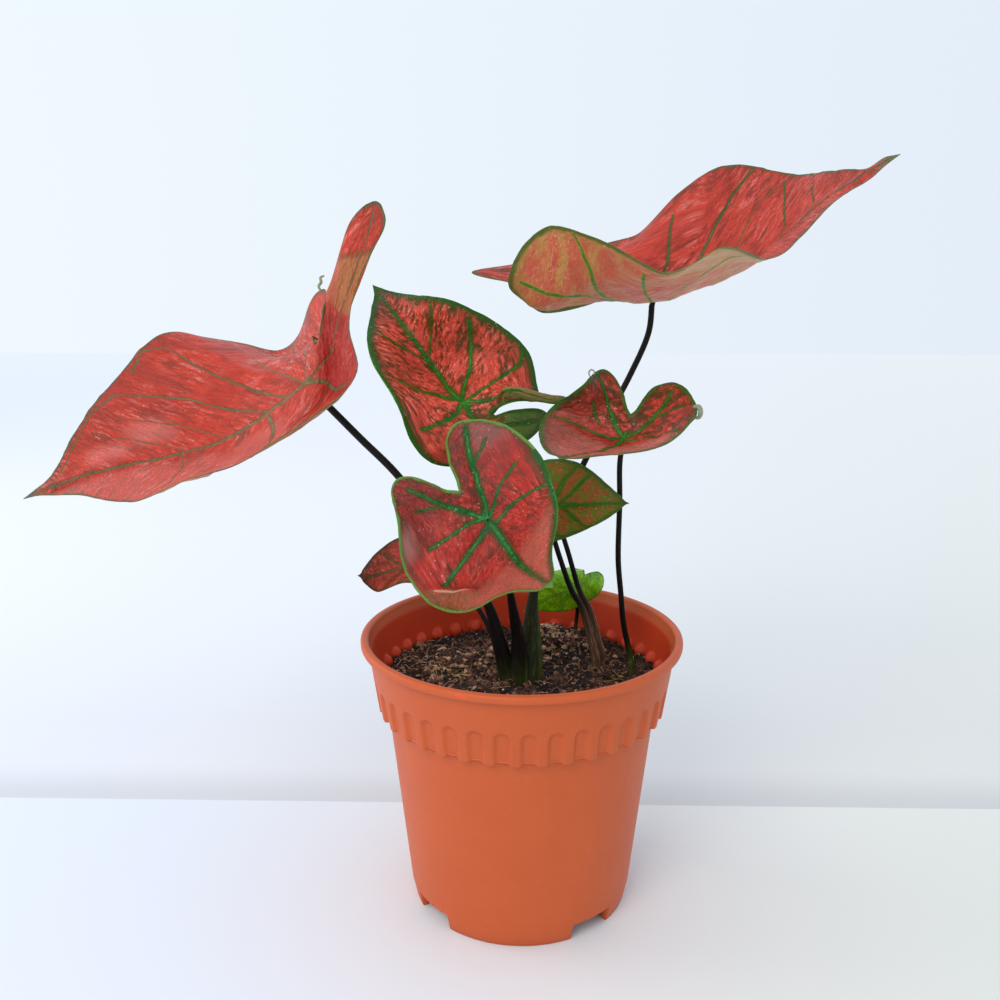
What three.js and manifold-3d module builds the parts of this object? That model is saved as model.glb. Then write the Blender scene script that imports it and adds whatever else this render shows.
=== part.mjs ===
// A caladium in its moulded plastic nursery pot: eight heart-shaped leaf blades, each on its own
// petiole (leaf stalk), growing from one buried tuber. Millimetres, +Z up.
// Everything is laid out from the axis of the pot, standing on z = 0. The finished plant is then
// moved sideways so that the origin is under the middle of its box.
import * as THREE from 'three';
import { mergeVertices } from 'three/addons/utils/BufferGeometryUtils.js';
import Module from 'manifold-3d';

const wasm = await Module();
wasm.setup();

// ---------------------------------------------------------------- driving dimensions

const clearance = 0.3; // between pieces that touch
const fineness = 0.01; // facets finer than this are merged after a cut

const pot = {
  height: 131.5,
  lipRadius: 75,
  lipInnerRadius: 71.1,
  lipHeight: 3.8,
  rounding: 1, // bevel of the lip and of the step under the band
  wall: 1.9,
  neckRadius: 71.7, // outside, just under the lip
  bandBottomRadius: 67.2, // outside, where the thick band of the wall ends
  bandBottom: 97,
  bodyTopRadius: 63,
  bodyBottomRadius: 53.4,
  footRadius: 51.6,
  footHeight: 8.2,
  footWidth: 2.4,
  floorUnderside: 9,
  floorThickness: 2,
  sides: 76,
};

const arch = {
  count: 38, // recesses round the band
  firstAzimuth: -87.1, // degrees, centre of one recess
  width: 7.4,
  top: 112.6,
  depth: 1.5,
  domeWidth: 8.2, // the matching swelling on the inside
  segments: 2, // of each quarter of its round top
};

const foot = {
  count: 4,
  notchAzimuth: -51, // degrees, middle of one notch between two feet
  notchAngle: 24,
  notchReach: 6, // cut this far either side of the ring
};

const drain = { count: 4, radius: 4, depth: 8, sides: 12, ringRadius: 30, azimuth: 15 };

const soil = { level: 108.5, sides: 32 };

const hillocks = [
  // [x, y, height, spread]: where the potting mix is heaped or hollow
  [13, 38, 9, 13],
  [-34, 12, 3, 14],
  [-16, -26, 2, 12],
  [34, -22, 2.5, 12],
  [44, 24, -2.5, 10],
  [-50, -12, -2, 10],
  [2, -48, -3, 14],
  [-22, 44, -2, 12],
];

// The crumbs of the mix: [height, radians per millimetre along x and y, phase] of each ripple.
const ripples = [
  [0.7, 0.31, 0.27, 1.3],
  [0.5, -0.4, 0.53, 0],
];

const tuber = { centre: [6, 4, 70], radii: [34, 27, 15], sides: 16 };
const tuberEyes = [[-12, 10, 5], [22, -8, 6], [26, 14, 4.5]]; // x, y, radius of each knob
const eyeSides = 8;

const blade = {
  thickness: 0.8,
  seatRoom: 1, // added to the thickness where a petiole is cut to fit it
  ringSpread: 0.8, // below 1 the rings crowd towards the margin
  waveReach: 4, // how quickly the margin's waves die away inwards
  heartRadius: 0.1, // of the innermost ring, in parts of the length from heart to tip
};

// ---------------------------------------------------------------- solids: join and cut

const toSolid = (geometry) => {
  const bare = geometry.clone();
  bare.deleteAttribute('normal');
  bare.deleteAttribute('uv');
  const merged = mergeVertices(bare, 1e-4);
  return new wasm.Manifold(new wasm.Mesh({
    numProp: 3,
    vertProperties: new Float32Array(merged.attributes.position.array),
    triVerts: new Uint32Array(merged.index.array),
  }));
};

const toGeometry = (solid) => {
  const mesh = solid.simplify(fineness).getMesh();
  const geometry = new THREE.BufferGeometry();
  geometry.setAttribute('position', new THREE.BufferAttribute(new Float32Array(mesh.vertProperties), 3));
  geometry.setIndex(new THREE.BufferAttribute(new Uint32Array(mesh.triVerts), 1));
  return geometry;
};

const joinAll = (solids) => solids.reduce((sum, next) => sum.add(next));
const cutAll = (body, cutters) => cutters.reduce((rest, next) => rest.subtract(next), body);

// The main piece that is left after a cut, without the scraps beyond it.
const mainPiece = (solid) => (
  solid.simplify(fineness).decompose().reduce((a, b) => (b.volume() > a.volume() ? b : a))
);

const radians = THREE.MathUtils.degToRad;
const lerp = THREE.MathUtils.lerp;

// A closed skin of indexed triangles.
const skin = (vertices, triangles) => {
  const geometry = new THREE.BufferGeometry();
  geometry.setAttribute('position', new THREE.Float32BufferAttribute(vertices.flat(), 3));
  geometry.setIndex(triangles.flat());
  return geometry;
};

// A lathe turned about +Z instead of +Y.
const turned = (profile, sides) => {
  const points = profile.map(([radius, z]) => new THREE.Vector2(radius, z));
  return new THREE.LatheGeometry(points, sides).rotateX(Math.PI / 2);
};

// ---------------------------------------------------------------- pot

const bandOutside = (z) => lerp(
  pot.bandBottomRadius,
  pot.neckRadius,
  (z - pot.bandBottom) / (pot.height - pot.lipHeight - pot.bandBottom),
);
const bodyOutside = (z) => lerp(
  pot.bodyBottomRadius,
  pot.bodyTopRadius,
  (z - pot.footHeight) / (pot.bandBottom - pot.footHeight),
);
const bandInside = (z) => bandOutside(z) - pot.wall;
const bodyInside = (z) => bodyOutside(z) - pot.wall;

const floorTop = pot.floorUnderside + pot.floorThickness;
const stepInside = pot.bandBottom + pot.wall; // height of the ledge inside, where the wall narrows
const lipBottom = pot.height - pot.lipHeight;

const potShell = () => turned([
  [0, pot.floorUnderside],
  [pot.footRadius - pot.footWidth, pot.floorUnderside],
  [pot.footRadius - pot.footWidth, 0],
  [pot.footRadius, 0],
  [pot.bodyBottomRadius, pot.footHeight],
  [bodyOutside(pot.bandBottom - pot.rounding), pot.bandBottom - pot.rounding],
  [pot.bandBottomRadius - pot.rounding, pot.bandBottom],
  [bandOutside(pot.bandBottom + pot.rounding), pot.bandBottom + pot.rounding],
  [bandOutside(lipBottom - pot.rounding), lipBottom - pot.rounding],
  [pot.lipRadius - pot.rounding, lipBottom],
  [pot.lipRadius, lipBottom + pot.rounding],
  [pot.lipRadius - pot.rounding, pot.height],
  [pot.lipInnerRadius + pot.rounding, pot.height],
  [pot.lipInnerRadius, pot.height - pot.rounding],
  [bandInside(lipBottom - pot.lipHeight), lipBottom - pot.lipHeight],
  [bandInside(stepInside + arch.depth), stepInside + arch.depth],
  [bodyInside(stepInside), stepInside],
  [bodyInside(floorTop), floorTop],
  [0, floorTop],
], pot.sides);

// A round-topped tongue, standing on the wall at one azimuth and leaning with it.
// It reaches from innerRadius to outerRadius, both measured at its bottom.
const tongue = (azimuth, width, bottom, innerRadius, outerRadius) => {
  const half = width / 2;
  const shape = new THREE.Shape();
  shape.moveTo(-half, 0);
  shape.lineTo(half, 0);
  shape.absarc(0, arch.top - bottom - half, half, 0, Math.PI, false);
  shape.closePath();
  const lean = Math.atan2(pot.neckRadius - pot.bandBottomRadius, lipBottom - pot.bandBottom);
  const solid = new THREE.ExtrudeGeometry(shape, {
    depth: outerRadius - innerRadius,
    bevelEnabled: false,
    curveSegments: arch.segments,
  });
  solid.rotateX(Math.PI / 2 - lean);
  solid.rotateZ(-Math.PI / 2);
  solid.translate(outerRadius, 0, bottom);
  return solid.rotateZ(radians(azimuth));
};

const ringSector = (middle, angle, radius, width, bottom, top) => {
  const start = radians(middle - angle / 2);
  const end = radians(middle + angle / 2);
  const shape = new THREE.Shape();
  shape.absarc(0, 0, radius + width, start, end, false);
  shape.absarc(0, 0, radius - width, end, start, true);
  const solid = new THREE.ExtrudeGeometry(shape, {
    depth: top - bottom,
    bevelEnabled: false,
    curveSegments: 3,
  });
  return solid.translate(0, 0, bottom);
};

const buildPot = () => {
  const azimuths = Array.from({ length: arch.count }, (_, i) => arch.firstAzimuth + (360 * i) / arch.count);
  const recessBottom = pot.bandBottom - 2;
  const innerFace = bandInside(stepInside);
  const outerFace = bandOutside(recessBottom);
  const domes = azimuths.map((azimuth) => toSolid(
    tongue(azimuth, arch.domeWidth, stepInside, innerFace - arch.depth, innerFace + pot.wall / 2),
  ));
  const recesses = azimuths.map((azimuth) => toSolid(
    tongue(azimuth, arch.width, recessBottom, outerFace - arch.depth, outerFace + 2 * arch.depth),
  ));
  const notches = Array.from({ length: foot.count }, (_, i) => toSolid(ringSector(
    foot.notchAzimuth + (360 * i) / foot.count,
    foot.notchAngle,
    pot.footRadius,
    foot.notchReach,
    -pot.rounding,
    pot.footHeight,
  )));
  const drains = Array.from({ length: drain.count }, (_, i) => {
    const azimuth = radians(drain.azimuth + (360 * i) / drain.count);
    const hole = new THREE.CylinderGeometry(drain.radius, drain.radius, drain.depth, drain.sides);
    hole.rotateX(Math.PI / 2);
    hole.translate(drain.ringRadius * Math.cos(azimuth), drain.ringRadius * Math.sin(azimuth), floorTop);
    return toSolid(hole);
  });
  const shell = toSolid(potShell()).add(joinAll(domes));
  return toGeometry(cutAll(shell, [joinAll(recesses), ...notches, ...drains]));
};

// ---------------------------------------------------------------- leaf blades

// The flat pattern of every blade, one unit from heart to tip: v runs along the midrib, u across.
// The heart, at the origin, is where the petiole meets the blade and the main veins part.
// The margin is given for the right half, from the tip round the lobe to the sinus between the lobes.
const marginHalf = [
  [0, 1], [0.035, 0.93], [0.15, 0.76], [0.31, 0.54], [0.43, 0.31], [0.475, 0.1], [0.465, -0.12],
  [0.41, -0.32], [0.32, -0.46], [0.23, -0.52], [0.14, -0.48], [0.08, -0.35], [0.035, -0.22], [0, -0.17],
];

// Places on the pattern that a leaf can be pinned by. Those of a side are mirrored for the other.
const middlePlaces = {
  tip: [0, 1],
  ribOuter: [0, 0.66],
  ribInner: [0, 0.33],
  ribRoot: [0, 0.15],
  heart: [0, 0],
  sinus: [0, -0.17],
};
const sidePlaces = {
  flank: [0.3, 0.56],
  side: [0.43, 0.31],
  shoulder: [0.475, 0.1],
  waist: [0.465, -0.12],
  hip: [0.45, -0.22],
  lobeOut: [0.41, -0.32],
  lobeFlank: [0.37, -0.4],
  lobeEdge: [0.32, -0.46],
  lobeCorner: [0.285, -0.5],
  lobeTip: [0.23, -0.52],
  lobeInner: [0.14, -0.48],
  lobeIn: [0.08, -0.35],
  lobeMid: [0.21, -0.4],
  lobeRib: [0.15, -0.26],
  web: [0.2, 0.3],
};

// Each leaf: where its pinned places lie, in millimetres from the foot of the pot's axis, and the
// small waves of its margin. rings and spokes set how finely the blade is divided.
const leaves = {
  left: {
    // the big leaf held out to the left, its near lobe drawn up like a tongue
    middle: {
      tip: [-201, -55, 206], ribOuter: [-169, -44, 218], ribInner: [-129, -28, 225],
      heart: [-92, -22, 250], sinus: [-93, -7, 262],
    },
    right: {
      flank: [-186, -14, 242], shoulder: [-159, 25, 269], lobeOut: [-118, 45, 259],
      lobeTip: [-93, 26, 288], lobeInner: [-91, 14, 279], lobeIn: [-91, 6, 269], lobeRib: [-100, 16, 260],
    },
    left: {
      flank: [-145, -78, 213], side: [-116, -95, 224], shoulder: [-98, -71, 232], waist: [-74, -33, 246],
      hip: [-70, -23, 258], lobeOut: [-75, -13, 272], lobeFlank: [-71, -3, 289], lobeEdge: [-65, 4, 305],
      lobeCorner: [-60, 9, 318], lobeTip: [-64, 13, 326], lobeInner: [-77, 12, 315], lobeIn: [-87, 0, 284],
      lobeMid: [-75, 1, 290], lobeRib: [-83, -6, 263],
    },
    wave: { height: 1.6, count: 13, phase: 0.6 },
    rings: 5,
    spokes: 52,
    color: 0xb8453f,
  },
  upright: {
    // the heart standing up behind the front leaf
    middle: {
      tip: [-71, 38, 289], ribOuter: [-56, 18, 275], ribInner: [-41, 17, 252],
      heart: [-27, -1, 240], sinus: [-13, -5, 235],
    },
    right: {
      flank: [-33, 8, 284], shoulder: [3, 20, 259], waist: [8, 18, 241],
      lobeTip: [22, 1, 240], lobeInner: [14, -3, 239], lobeIn: [3, -5, 240], lobeRib: [-5, -9, 246],
    },
    left: {
      flank: [-68, -4, 268], shoulder: [-51, -30, 239], lobeOut: [-29, -12, 213],
      lobeEdge: [3, -2, 222], lobeTip: [11, 3, 232], lobeIn: [-5, -10, 237], lobeRib: [-14, -17, 230],
    },
    wave: { height: 0.8, count: 11, phase: 1.1 },
    rings: 4,
    spokes: 52,
    color: 0xb03a30,
  },
  high: {
    // the big leaf held out to the right, cupped along its midrib like a boat
    middle: {
      tip: [155, -8, 342], ribOuter: [124, 1, 323], ribInner: [98, 13, 297],
      ribRoot: [79, 14, 290], heart: [58, 15, 283], sinus: [39, 10, 285],
    },
    right: {
      flank: [108, -28, 308], side: [90, -50, 300], shoulder: [71, -68, 306], waist: [53, -52, 295],
      lobeOut: [29, -48, 309], lobeEdge: [9, -34, 313], lobeTip: [-4, -28, 300],
      lobeIn: [8, -4, 278], lobeRib: [24, -11, 286], web: [90, -20, 299],
    },
    left: {
      flank: [131, 30, 339], shoulder: [93, 63, 344], waist: [71, 60, 330], hip: [58, 60, 314],
      lobeOut: [44, 60, 309], lobeEdge: [-5, 50, 300], lobeTip: [-24, 42, 294], lobeInner: [-11, 33, 293],
      lobeIn: [6, 25, 287], lobeRib: [23, 30, 291],
    },
    wave: { height: 1.4, count: 12, phase: 2.2 },
    rings: 5,
    spokes: 52,
    color: 0xbf4a44,
  },
  cupped: {
    // the small leaf on the right, its two lobes raised
    middle: { tip: [14, -71, 227], ribInner: [31, -37, 224], heart: [43, -22, 227], sinus: [46, -20, 237] },
    right: {
      flank: [7, -39, 228], shoulder: [12, -11, 238], lobeOut: [27, -20, 251],
      lobeTip: [35, -5, 254], lobeIn: [43, -14, 246], lobeRib: [40, -12, 241],
    },
    left: {
      flank: [43, -58, 227], shoulder: [67, -43, 235], lobeOut: [73, -20, 243],
      lobeTip: [65, -6, 249], lobeIn: [52, -11, 242], lobeRib: [56, -16, 239],
    },
    wave: { height: 0.6, count: 9, phase: 0.3 },
    rings: 4,
    spokes: 52,
    color: 0xa83c3a,
  },
  front: {
    // the heart that hangs in front of the others, its tip towards the viewer
    middle: {
      tip: [11, -121, 192], ribInner: [-2, -63, 184], heart: [-14, -47, 197], sinus: [-26, -46, 209],
    },
    right: {
      flank: [-11, -89, 177], shoulder: [-37, -61, 165], waist: [-48, -55, 179], lobeOut: [-51, -50, 197],
      lobeTip: [-54, -31, 209], lobeIn: [-38, -36, 210], lobeRib: [-36, -40, 202],
    },
    left: {
      flank: [12, -82, 199], shoulder: [10, -54, 220], lobeOut: [-6, -30, 233],
      lobeTip: [-27, -24, 234], lobeIn: [-31, -34, 219], lobeRib: [-22, -36, 218],
    },
    wave: { height: 0.9, count: 11, phase: 1.7 },
    rings: 4,
    spokes: 52,
    color: 0xb5423f,
  },
  olive: {
    // the greener leaf behind the front one, pointing right
    middle: { tip: [46, -29, 200], ribInner: [26, -9, 195], heart: [11, -7, 194], sinus: [3, -6, 194] },
    right: { flank: [32, -21, 188], shoulder: [14, -21, 181], lobeOut: [1, -9, 176], lobeTip: [-7, -3, 181] },
    left: { flank: [34, -11, 208], shoulder: [18, -2, 214], lobeOut: [2, 2, 210], lobeTip: [-6, 6, 203] },
    wave: { height: 0.5, count: 8, phase: 0.9 },
    rings: 4,
    spokes: 26,
    color: 0x5d6a2c,
  },
  green: {
    // the youngest leaf, plain green, low at the back
    middle: { tip: [1, 35, 128], heart: [28, 39, 141], sinus: [32, 42, 146] },
    right: { flank: [9, 37, 142], lobeOut: [21, 51, 146], lobeTip: [28, 55, 145] },
    left: { flank: [16, 42, 126], shoulder: [31, 45, 128], lobeOut: [41, 46, 137], lobeTip: [42, 51, 143] },
    wave: { height: 0.5, count: 7, phase: 0.2 },
    rings: 4,
    spokes: 26,
    color: 0x3f8a24,
  },
  low: {
    // the small red leaf low on the left
    middle: { tip: [-76, -4, 159], ribInner: [-63, 13, 156], heart: [-51, 14, 159], sinus: [-46, 15, 160] },
    right: { flank: [-70, 10, 165], shoulder: [-58, 17, 172], lobeTip: [-39, 23, 169] },
    left: { flank: [-68, 5, 148], shoulder: [-55, -1, 155], lobeTip: [-38, 7, 155] },
    wave: { height: 0.4, count: 7, phase: 1.4 },
    rings: 4,
    spokes: 26,
    color: 0x9c3a38,
  },
};

// The whole margin as a smooth closed curve, from the tip down the right side and back up the left.
const marginCurve = new THREE.CatmullRomCurve3(
  [...marginHalf, ...marginHalf.slice(1, -1).reverse().map(([u, v]) => [-u, v])]
    .map(([u, v]) => new THREE.Vector3(u, v, 0)),
  true,
);

// Solves a small set of linear equations by elimination, for several right-hand sides at once.
const solve = (matrix, sides) => {
  const rows = matrix.map((row, i) => [...row, ...sides[i]]);
  const size = matrix.length;
  for (let column = 0; column < size; column += 1) {
    let pivot = column;
    for (let row = column + 1; row < size; row += 1) {
      if (Math.abs(rows[row][column]) > Math.abs(rows[pivot][column])) {
        pivot = row;
      }
    }
    [rows[column], rows[pivot]] = [rows[pivot], rows[column]];
    for (let row = 0; row < size; row += 1) {
      if (row !== column) {
        const factor = rows[row][column] / rows[column][column];
        for (let k = column; k < rows[row].length; k += 1) {
          rows[row][k] -= factor * rows[column][k];
        }
      }
    }
  }
  return rows.map((row, i) => row.slice(size).map((value) => value / row[i]));
};

// A thin plate bent through the pins: returns the place in space of any point of the pattern.
const thinPlate = (pins) => {
  const bend = (a, b) => {
    const squared = (a[0] - b[0]) ** 2 + (a[1] - b[1]) ** 2;
    return squared > 0 ? 0.5 * squared * Math.log(squared) : 0;
  };
  const flats = pins.map(({ flat }) => flat);
  const matrix = [
    ...flats.map((a) => [...flats.map((b) => bend(a, b)), 1, ...a]),
    [...flats.map(() => 1), 0, 0, 0],
    [...flats.map(([u]) => u), 0, 0, 0],
    [...flats.map(([, v]) => v), 0, 0, 0],
  ];
  const nowhere = [0, 0, 0];
  const weights = solve(matrix, [...pins.map(({ place }) => place), nowhere, nowhere, nowhere]);
  return ([u, v]) => {
    const terms = [...flats.map((flat) => bend([u, v], flat)), 1, u, v];
    return new THREE.Vector3(...[0, 1, 2].map(
      (axis) => terms.reduce((sum, term, i) => sum + term * weights[i][axis], 0),
    ));
  };
};

const pinsOf = (leaf) => [
  ...Object.entries(leaf.middle).map(([name, place]) => ({ flat: middlePlaces[name], place })),
  ...Object.entries(leaf.right).map(([name, place]) => ({ flat: sidePlaces[name], place })),
  ...Object.entries(leaf.left).map(([name, place]) => (
    { flat: [-sidePlaces[name][0], sidePlaces[name][1]], place }
  )),
];

// How a blade is divided: point 0 is the heart, then come the rings, from a small round one to
// the margin. The triangles are seen from the upper side, each cell split along its shorter diagonal.
const division = ({ rings, spokes }) => {
  const flats = [new THREE.Vector2(0, 0)];
  for (let ring = 1; ring <= rings; ring += 1) {
    const reach = ((ring - 1) / (rings - 1)) ** blade.ringSpread;
    for (let spoke = 0; spoke < spokes; spoke += 1) {
      const turn = (2 * Math.PI * spoke) / spokes;
      const round = new THREE.Vector2(Math.sin(turn), Math.cos(turn)).multiplyScalar(blade.heartRadius);
      const margin = marginCurve.getPoint(spoke / spokes);
      flats.push(round.lerp(new THREE.Vector2(margin.x, margin.y), reach));
    }
  }
  const at = (ring, spoke) => 1 + (ring - 1) * spokes + (spoke % spokes);
  const triangles = [];
  for (let spoke = 0; spoke < spokes; spoke += 1) {
    triangles.push([0, at(1, spoke + 1), at(1, spoke)]);
    for (let ring = 1; ring < rings; ring += 1) {
      const [a, b] = [at(ring, spoke), at(ring, spoke + 1)];
      const [c, d] = [at(ring + 1, spoke), at(ring + 1, spoke + 1)];
      if (flats[b].distanceTo(flats[c]) < flats[a].distanceTo(flats[d])) {
        triangles.push([a, b, c], [b, d, c]);
      } else {
        triangles.push([a, b, d], [a, d, c]);
      }
    }
  }
  return { flats, triangles };
};

// The points of a sheet, each moved along the sheet's own normal.
const movedPoints = (sheet, distanceAt) => {
  sheet.computeVertexNormals();
  const { position, normal } = sheet.attributes;
  return Array.from({ length: position.count }, (_, i) => (
    new THREE.Vector3().fromBufferAttribute(position, i)
      .addScaledVector(new THREE.Vector3().fromBufferAttribute(normal, i), distanceAt(i))
      .toArray()
  ));
};

// The middle sheet of a blade, bent through its pins, with the waves of its margin.
const middleSheet = (leaf) => {
  const toSpace = thinPlate(pinsOf(leaf));
  const { flats, triangles } = division(leaf);
  const places = flats.map((flat) => toSpace(flat.toArray()).toArray());
  const { height, count, phase } = leaf.wave;
  const waved = movedPoints(skin(places, triangles), (i) => {
    const fade = (Math.ceil(i / leaf.spokes) / leaf.rings) ** blade.waveReach;
    return height * fade * Math.sin((2 * Math.PI * count * (i - 1)) / leaf.spokes + phase);
  });
  return skin(waved, triangles);
};

// A closed blade, its two faces divided alike and half a thickness each side of the middle sheet.
const bladeGeometry = (leaf, thickness) => {
  const sheet = middleSheet(leaf);
  const count = sheet.attributes.position.count;
  const upper = division(leaf).triangles;
  const lower = upper.map(([a, b, c]) => [a + count, c + count, b + count]);
  const margin = 1 + (leaf.rings - 1) * leaf.spokes;
  const edge = [];
  for (let spoke = 0; spoke < leaf.spokes; spoke += 1) {
    const here = margin + spoke;
    const next = margin + ((spoke + 1) % leaf.spokes);
    edge.push([here, next, next + count], [here, next + count, here + count]);
  }
  const faces = [thickness / 2, -thickness / 2].map((offset) => movedPoints(sheet, () => offset));
  return skin(faces.flat(), [...upper, ...lower, ...edge]);
};

// ---------------------------------------------------------------- petioles

// Each petiole's course from the tuber to the blade, and its radius at the soil and under the blade.
// The last stretch, to the heart of its blade, is added from the leaf; the blade then trims it.
const petioles = {
  left: {
    course: [
      [-8, -3, 80], [-8, -5, 109], [-11, -7, 128], [-16, -9, 149], [-36, -14, 181],
      [-54, -15, 208], [-71, -16, 226],
    ],
    base: 2.6,
    top: 1.6,
  },
  upright: {
    course: [
      [25, 9, 80], [35, 12, 100], [39, 14, 112], [37, 14, 122], [33, 13, 137],
      [28, 11, 147], [21, 9, 170], [12, 11, 196], [-3, 14, 219], [-16, 10, 232],
    ],
    base: 2.3,
    top: 1.1,
  },
  high: {
    course: [
      [5, 1, 80], [5, -3, 109], [5, 1, 128], [6, 6, 149], [16, 20, 177],
      [31, 25, 210], [42, 23, 233], [50, 20, 250], [57, 16, 269],
    ],
    base: 3.4,
    top: 1.4,
  },
  cupped: {
    course: [
      [30, 0, 76], [47, 1, 92], [53, 4, 109], [51, 3, 121], [48, 1, 135],
      [46, -2, 151], [44, -6, 168], [43, -15, 198], [42, -21, 216],
    ],
    base: 2.2,
    top: 1.2,
  },
  front: {
    course: [
      [-2, -5, 80], [-2.5, -8, 109], [-2, -9, 130], [-3, -12, 142], [-5, -18, 156],
      [-8, -30, 175], [-12, -41, 189],
    ],
    base: 3.3,
    top: 1.5,
  },
  olive: {
    course: [
      [22, 3, 80], [33, 6, 100], [36, 7, 112], [34, 7, 122], [28, 6, 142],
      [24, 5, 149], [18, 1, 166], [14, -3, 180],
    ],
    base: 2.3,
    top: 1.2,
  },
  green: {
    course: [
      [14, 18, 78], [22, 36, 96], [27, 49, 107], [29, 51, 120], [29, 46, 133],
    ],
    base: 1.6,
    top: 1,
  },
  low: {
    course: [
      [-9, 4, 80], [-10, 4, 109], [-15, 9, 128], [-27, 18, 144], [-40, 22, 152],
    ],
    base: 1.7,
    top: 1.1,
  },
};

const tube = {
  sides: 8,
  stepLength: 13,
  taper: 1.25, // how much thicker it is low down than at the top, before the flare
  flareReach: 0.35, // the part of its length that swells towards the base
  flareShape: 1.5,
};

const petioleGeometry = (name, extra) => {
  const { course, base, top } = petioles[name];
  const heart = new THREE.Vector3(...leaves[name].middle.heart);
  const points = course.map((point) => new THREE.Vector3(...point));
  const curve = new THREE.CatmullRomCurve3([...points, heart], false, 'centripetal');
  const steps = Math.round(curve.getLength() / tube.stepLength);
  const frames = curve.computeFrenetFrames(steps, false);
  const vertices = [];
  for (let step = 0; step <= steps; step += 1) {
    const along = step / steps;
    const centre = curve.getPointAt(along);
    const flare = Math.max(0, 1 - along / tube.flareReach) ** tube.flareShape;
    const slim = lerp(top * tube.taper, top, along);
    const radius = lerp(slim, base, flare) + extra;
    for (let side = 0; side < tube.sides; side += 1) {
      const angle = (2 * Math.PI * side) / tube.sides;
      vertices.push(centre.clone()
        .addScaledVector(frames.normals[step], radius * Math.cos(angle))
        .addScaledVector(frames.binormals[step], radius * Math.sin(angle))
        .toArray());
    }
  }
  const at = (step, side) => step * tube.sides + (side % tube.sides);
  const triangles = [];
  for (let side = 0; side < tube.sides; side += 1) {
    for (let step = 0; step < steps; step += 1) {
      triangles.push([at(step, side), at(step, side + 1), at(step + 1, side)]);
      triangles.push([at(step, side + 1), at(step + 1, side + 1), at(step + 1, side)]);
    }
    if (side > 0 && side < tube.sides - 1) {
      triangles.push([at(0, 0), at(0, side + 1), at(0, side)]);
      triangles.push([at(steps, 0), at(steps, side), at(steps, side + 1)]);
    }
  }
  return skin(vertices, triangles);
};

// ---------------------------------------------------------------- tuber and soil

const tuberSolid = (extra) => {
  const body = new THREE.SphereGeometry(1, tuber.sides, tuber.sides / 2).rotateX(Math.PI / 2);
  body.scale(...tuber.radii.map((radius) => radius + extra));
  body.translate(...tuber.centre);
  const knobs = tuberEyes.map(([x, y, radius]) => {
    const knob = new THREE.SphereGeometry(radius + extra, eyeSides, eyeSides / 2).rotateX(Math.PI / 2);
    const [across, deep, high] = tuber.radii;
    const rise = high * Math.sqrt(1 - (x / across) ** 2 - (y / deep) ** 2);
    knob.translate(...tuber.centre);
    knob.translate(x, y, rise - radius / 3);
    return toSolid(knob);
  });
  return joinAll([toSolid(body), ...knobs]);
};

const soilTop = (x, y) => {
  const heaps = hillocks.reduce((sum, [middleX, middleY, height, spread]) => {
    const away = Math.hypot(x - middleX, y - middleY) / spread;
    return sum + height * Math.exp(-(away ** 2) / 2);
  }, 0);
  const crumbs = ripples.reduce(
    (sum, [height, alongX, alongY, phase]) => sum + height * Math.sin(alongX * x + alongY * y + phase),
    0,
  );
  return soil.level + heaps + crumbs;
};

// The potting mix fills the pot: stacked rings of points up the wall, then in over the heaped top.
const soilBody = () => {
  const gap = clearance + 0.1; // a little more, as both walls are faceted
  const domeFace = (z) => bandInside(z) - arch.depth - gap;
  const wallRings = [
    [bodyInside(floorTop) - gap, floorTop + clearance],
    [bodyInside(stepInside) - gap, stepInside + clearance],
    [domeFace(stepInside + arch.depth), stepInside + arch.depth + clearance],
  ];
  const topReaches = [1, 0.82, 0.64, 0.46, 0.28, 0.12];
  const vertices = [[0, 0, floorTop + clearance]];
  const ringAt = (radius, heightAt) => {
    for (let side = 0; side < soil.sides; side += 1) {
      const angle = (2 * Math.PI * side) / soil.sides;
      const x = radius * Math.cos(angle);
      const y = radius * Math.sin(angle);
      vertices.push([x, y, heightAt(x, y)]);
    }
  };
  wallRings.forEach(([radius, z]) => ringAt(radius, () => z));
  topReaches.forEach((reach) => ringAt(domeFace(soil.level) * reach, soilTop));
  vertices.push([0, 0, soilTop(0, 0)]);
  const rings = wallRings.length + topReaches.length;
  const at = (ring, side) => 1 + ring * soil.sides + (side % soil.sides);
  const last = vertices.length - 1;
  const triangles = [];
  for (let side = 0; side < soil.sides; side += 1) {
    triangles.push([0, at(0, side + 1), at(0, side)]);
    triangles.push([last, at(rings - 1, side), at(rings - 1, side + 1)]);
    for (let ring = 0; ring < rings - 1; ring += 1) {
      triangles.push([at(ring, side), at(ring, side + 1), at(ring + 1, side)]);
      triangles.push([at(ring, side + 1), at(ring + 1, side + 1), at(ring + 1, side)]);
    }
  }
  return toSolid(skin(vertices, triangles));
};

// ---------------------------------------------------------------- assembly

const plant = new THREE.Group();

const add = (name, geometry, color, roughness) => {
  const mesh = new THREE.Mesh(geometry, new THREE.MeshStandardMaterial({ color, roughness, metalness: 0 }));
  mesh.name = name;
  plant.add(mesh);
};

add('pot', buildPot(), 0xc8623f, 0.45);

const names = Object.keys(leaves);
const tuberSeat = tuberSolid(clearance);
const stemHoles = joinAll(names.map((name) => toSolid(petioleGeometry(name, clearance))));
add('soil', toGeometry(cutAll(soilBody(), [stemHoles, tuberSeat])), 0x2e211c, 0.95);
add('tuber', toGeometry(tuberSolid(0)), 0x6e5138, 0.9);

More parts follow.
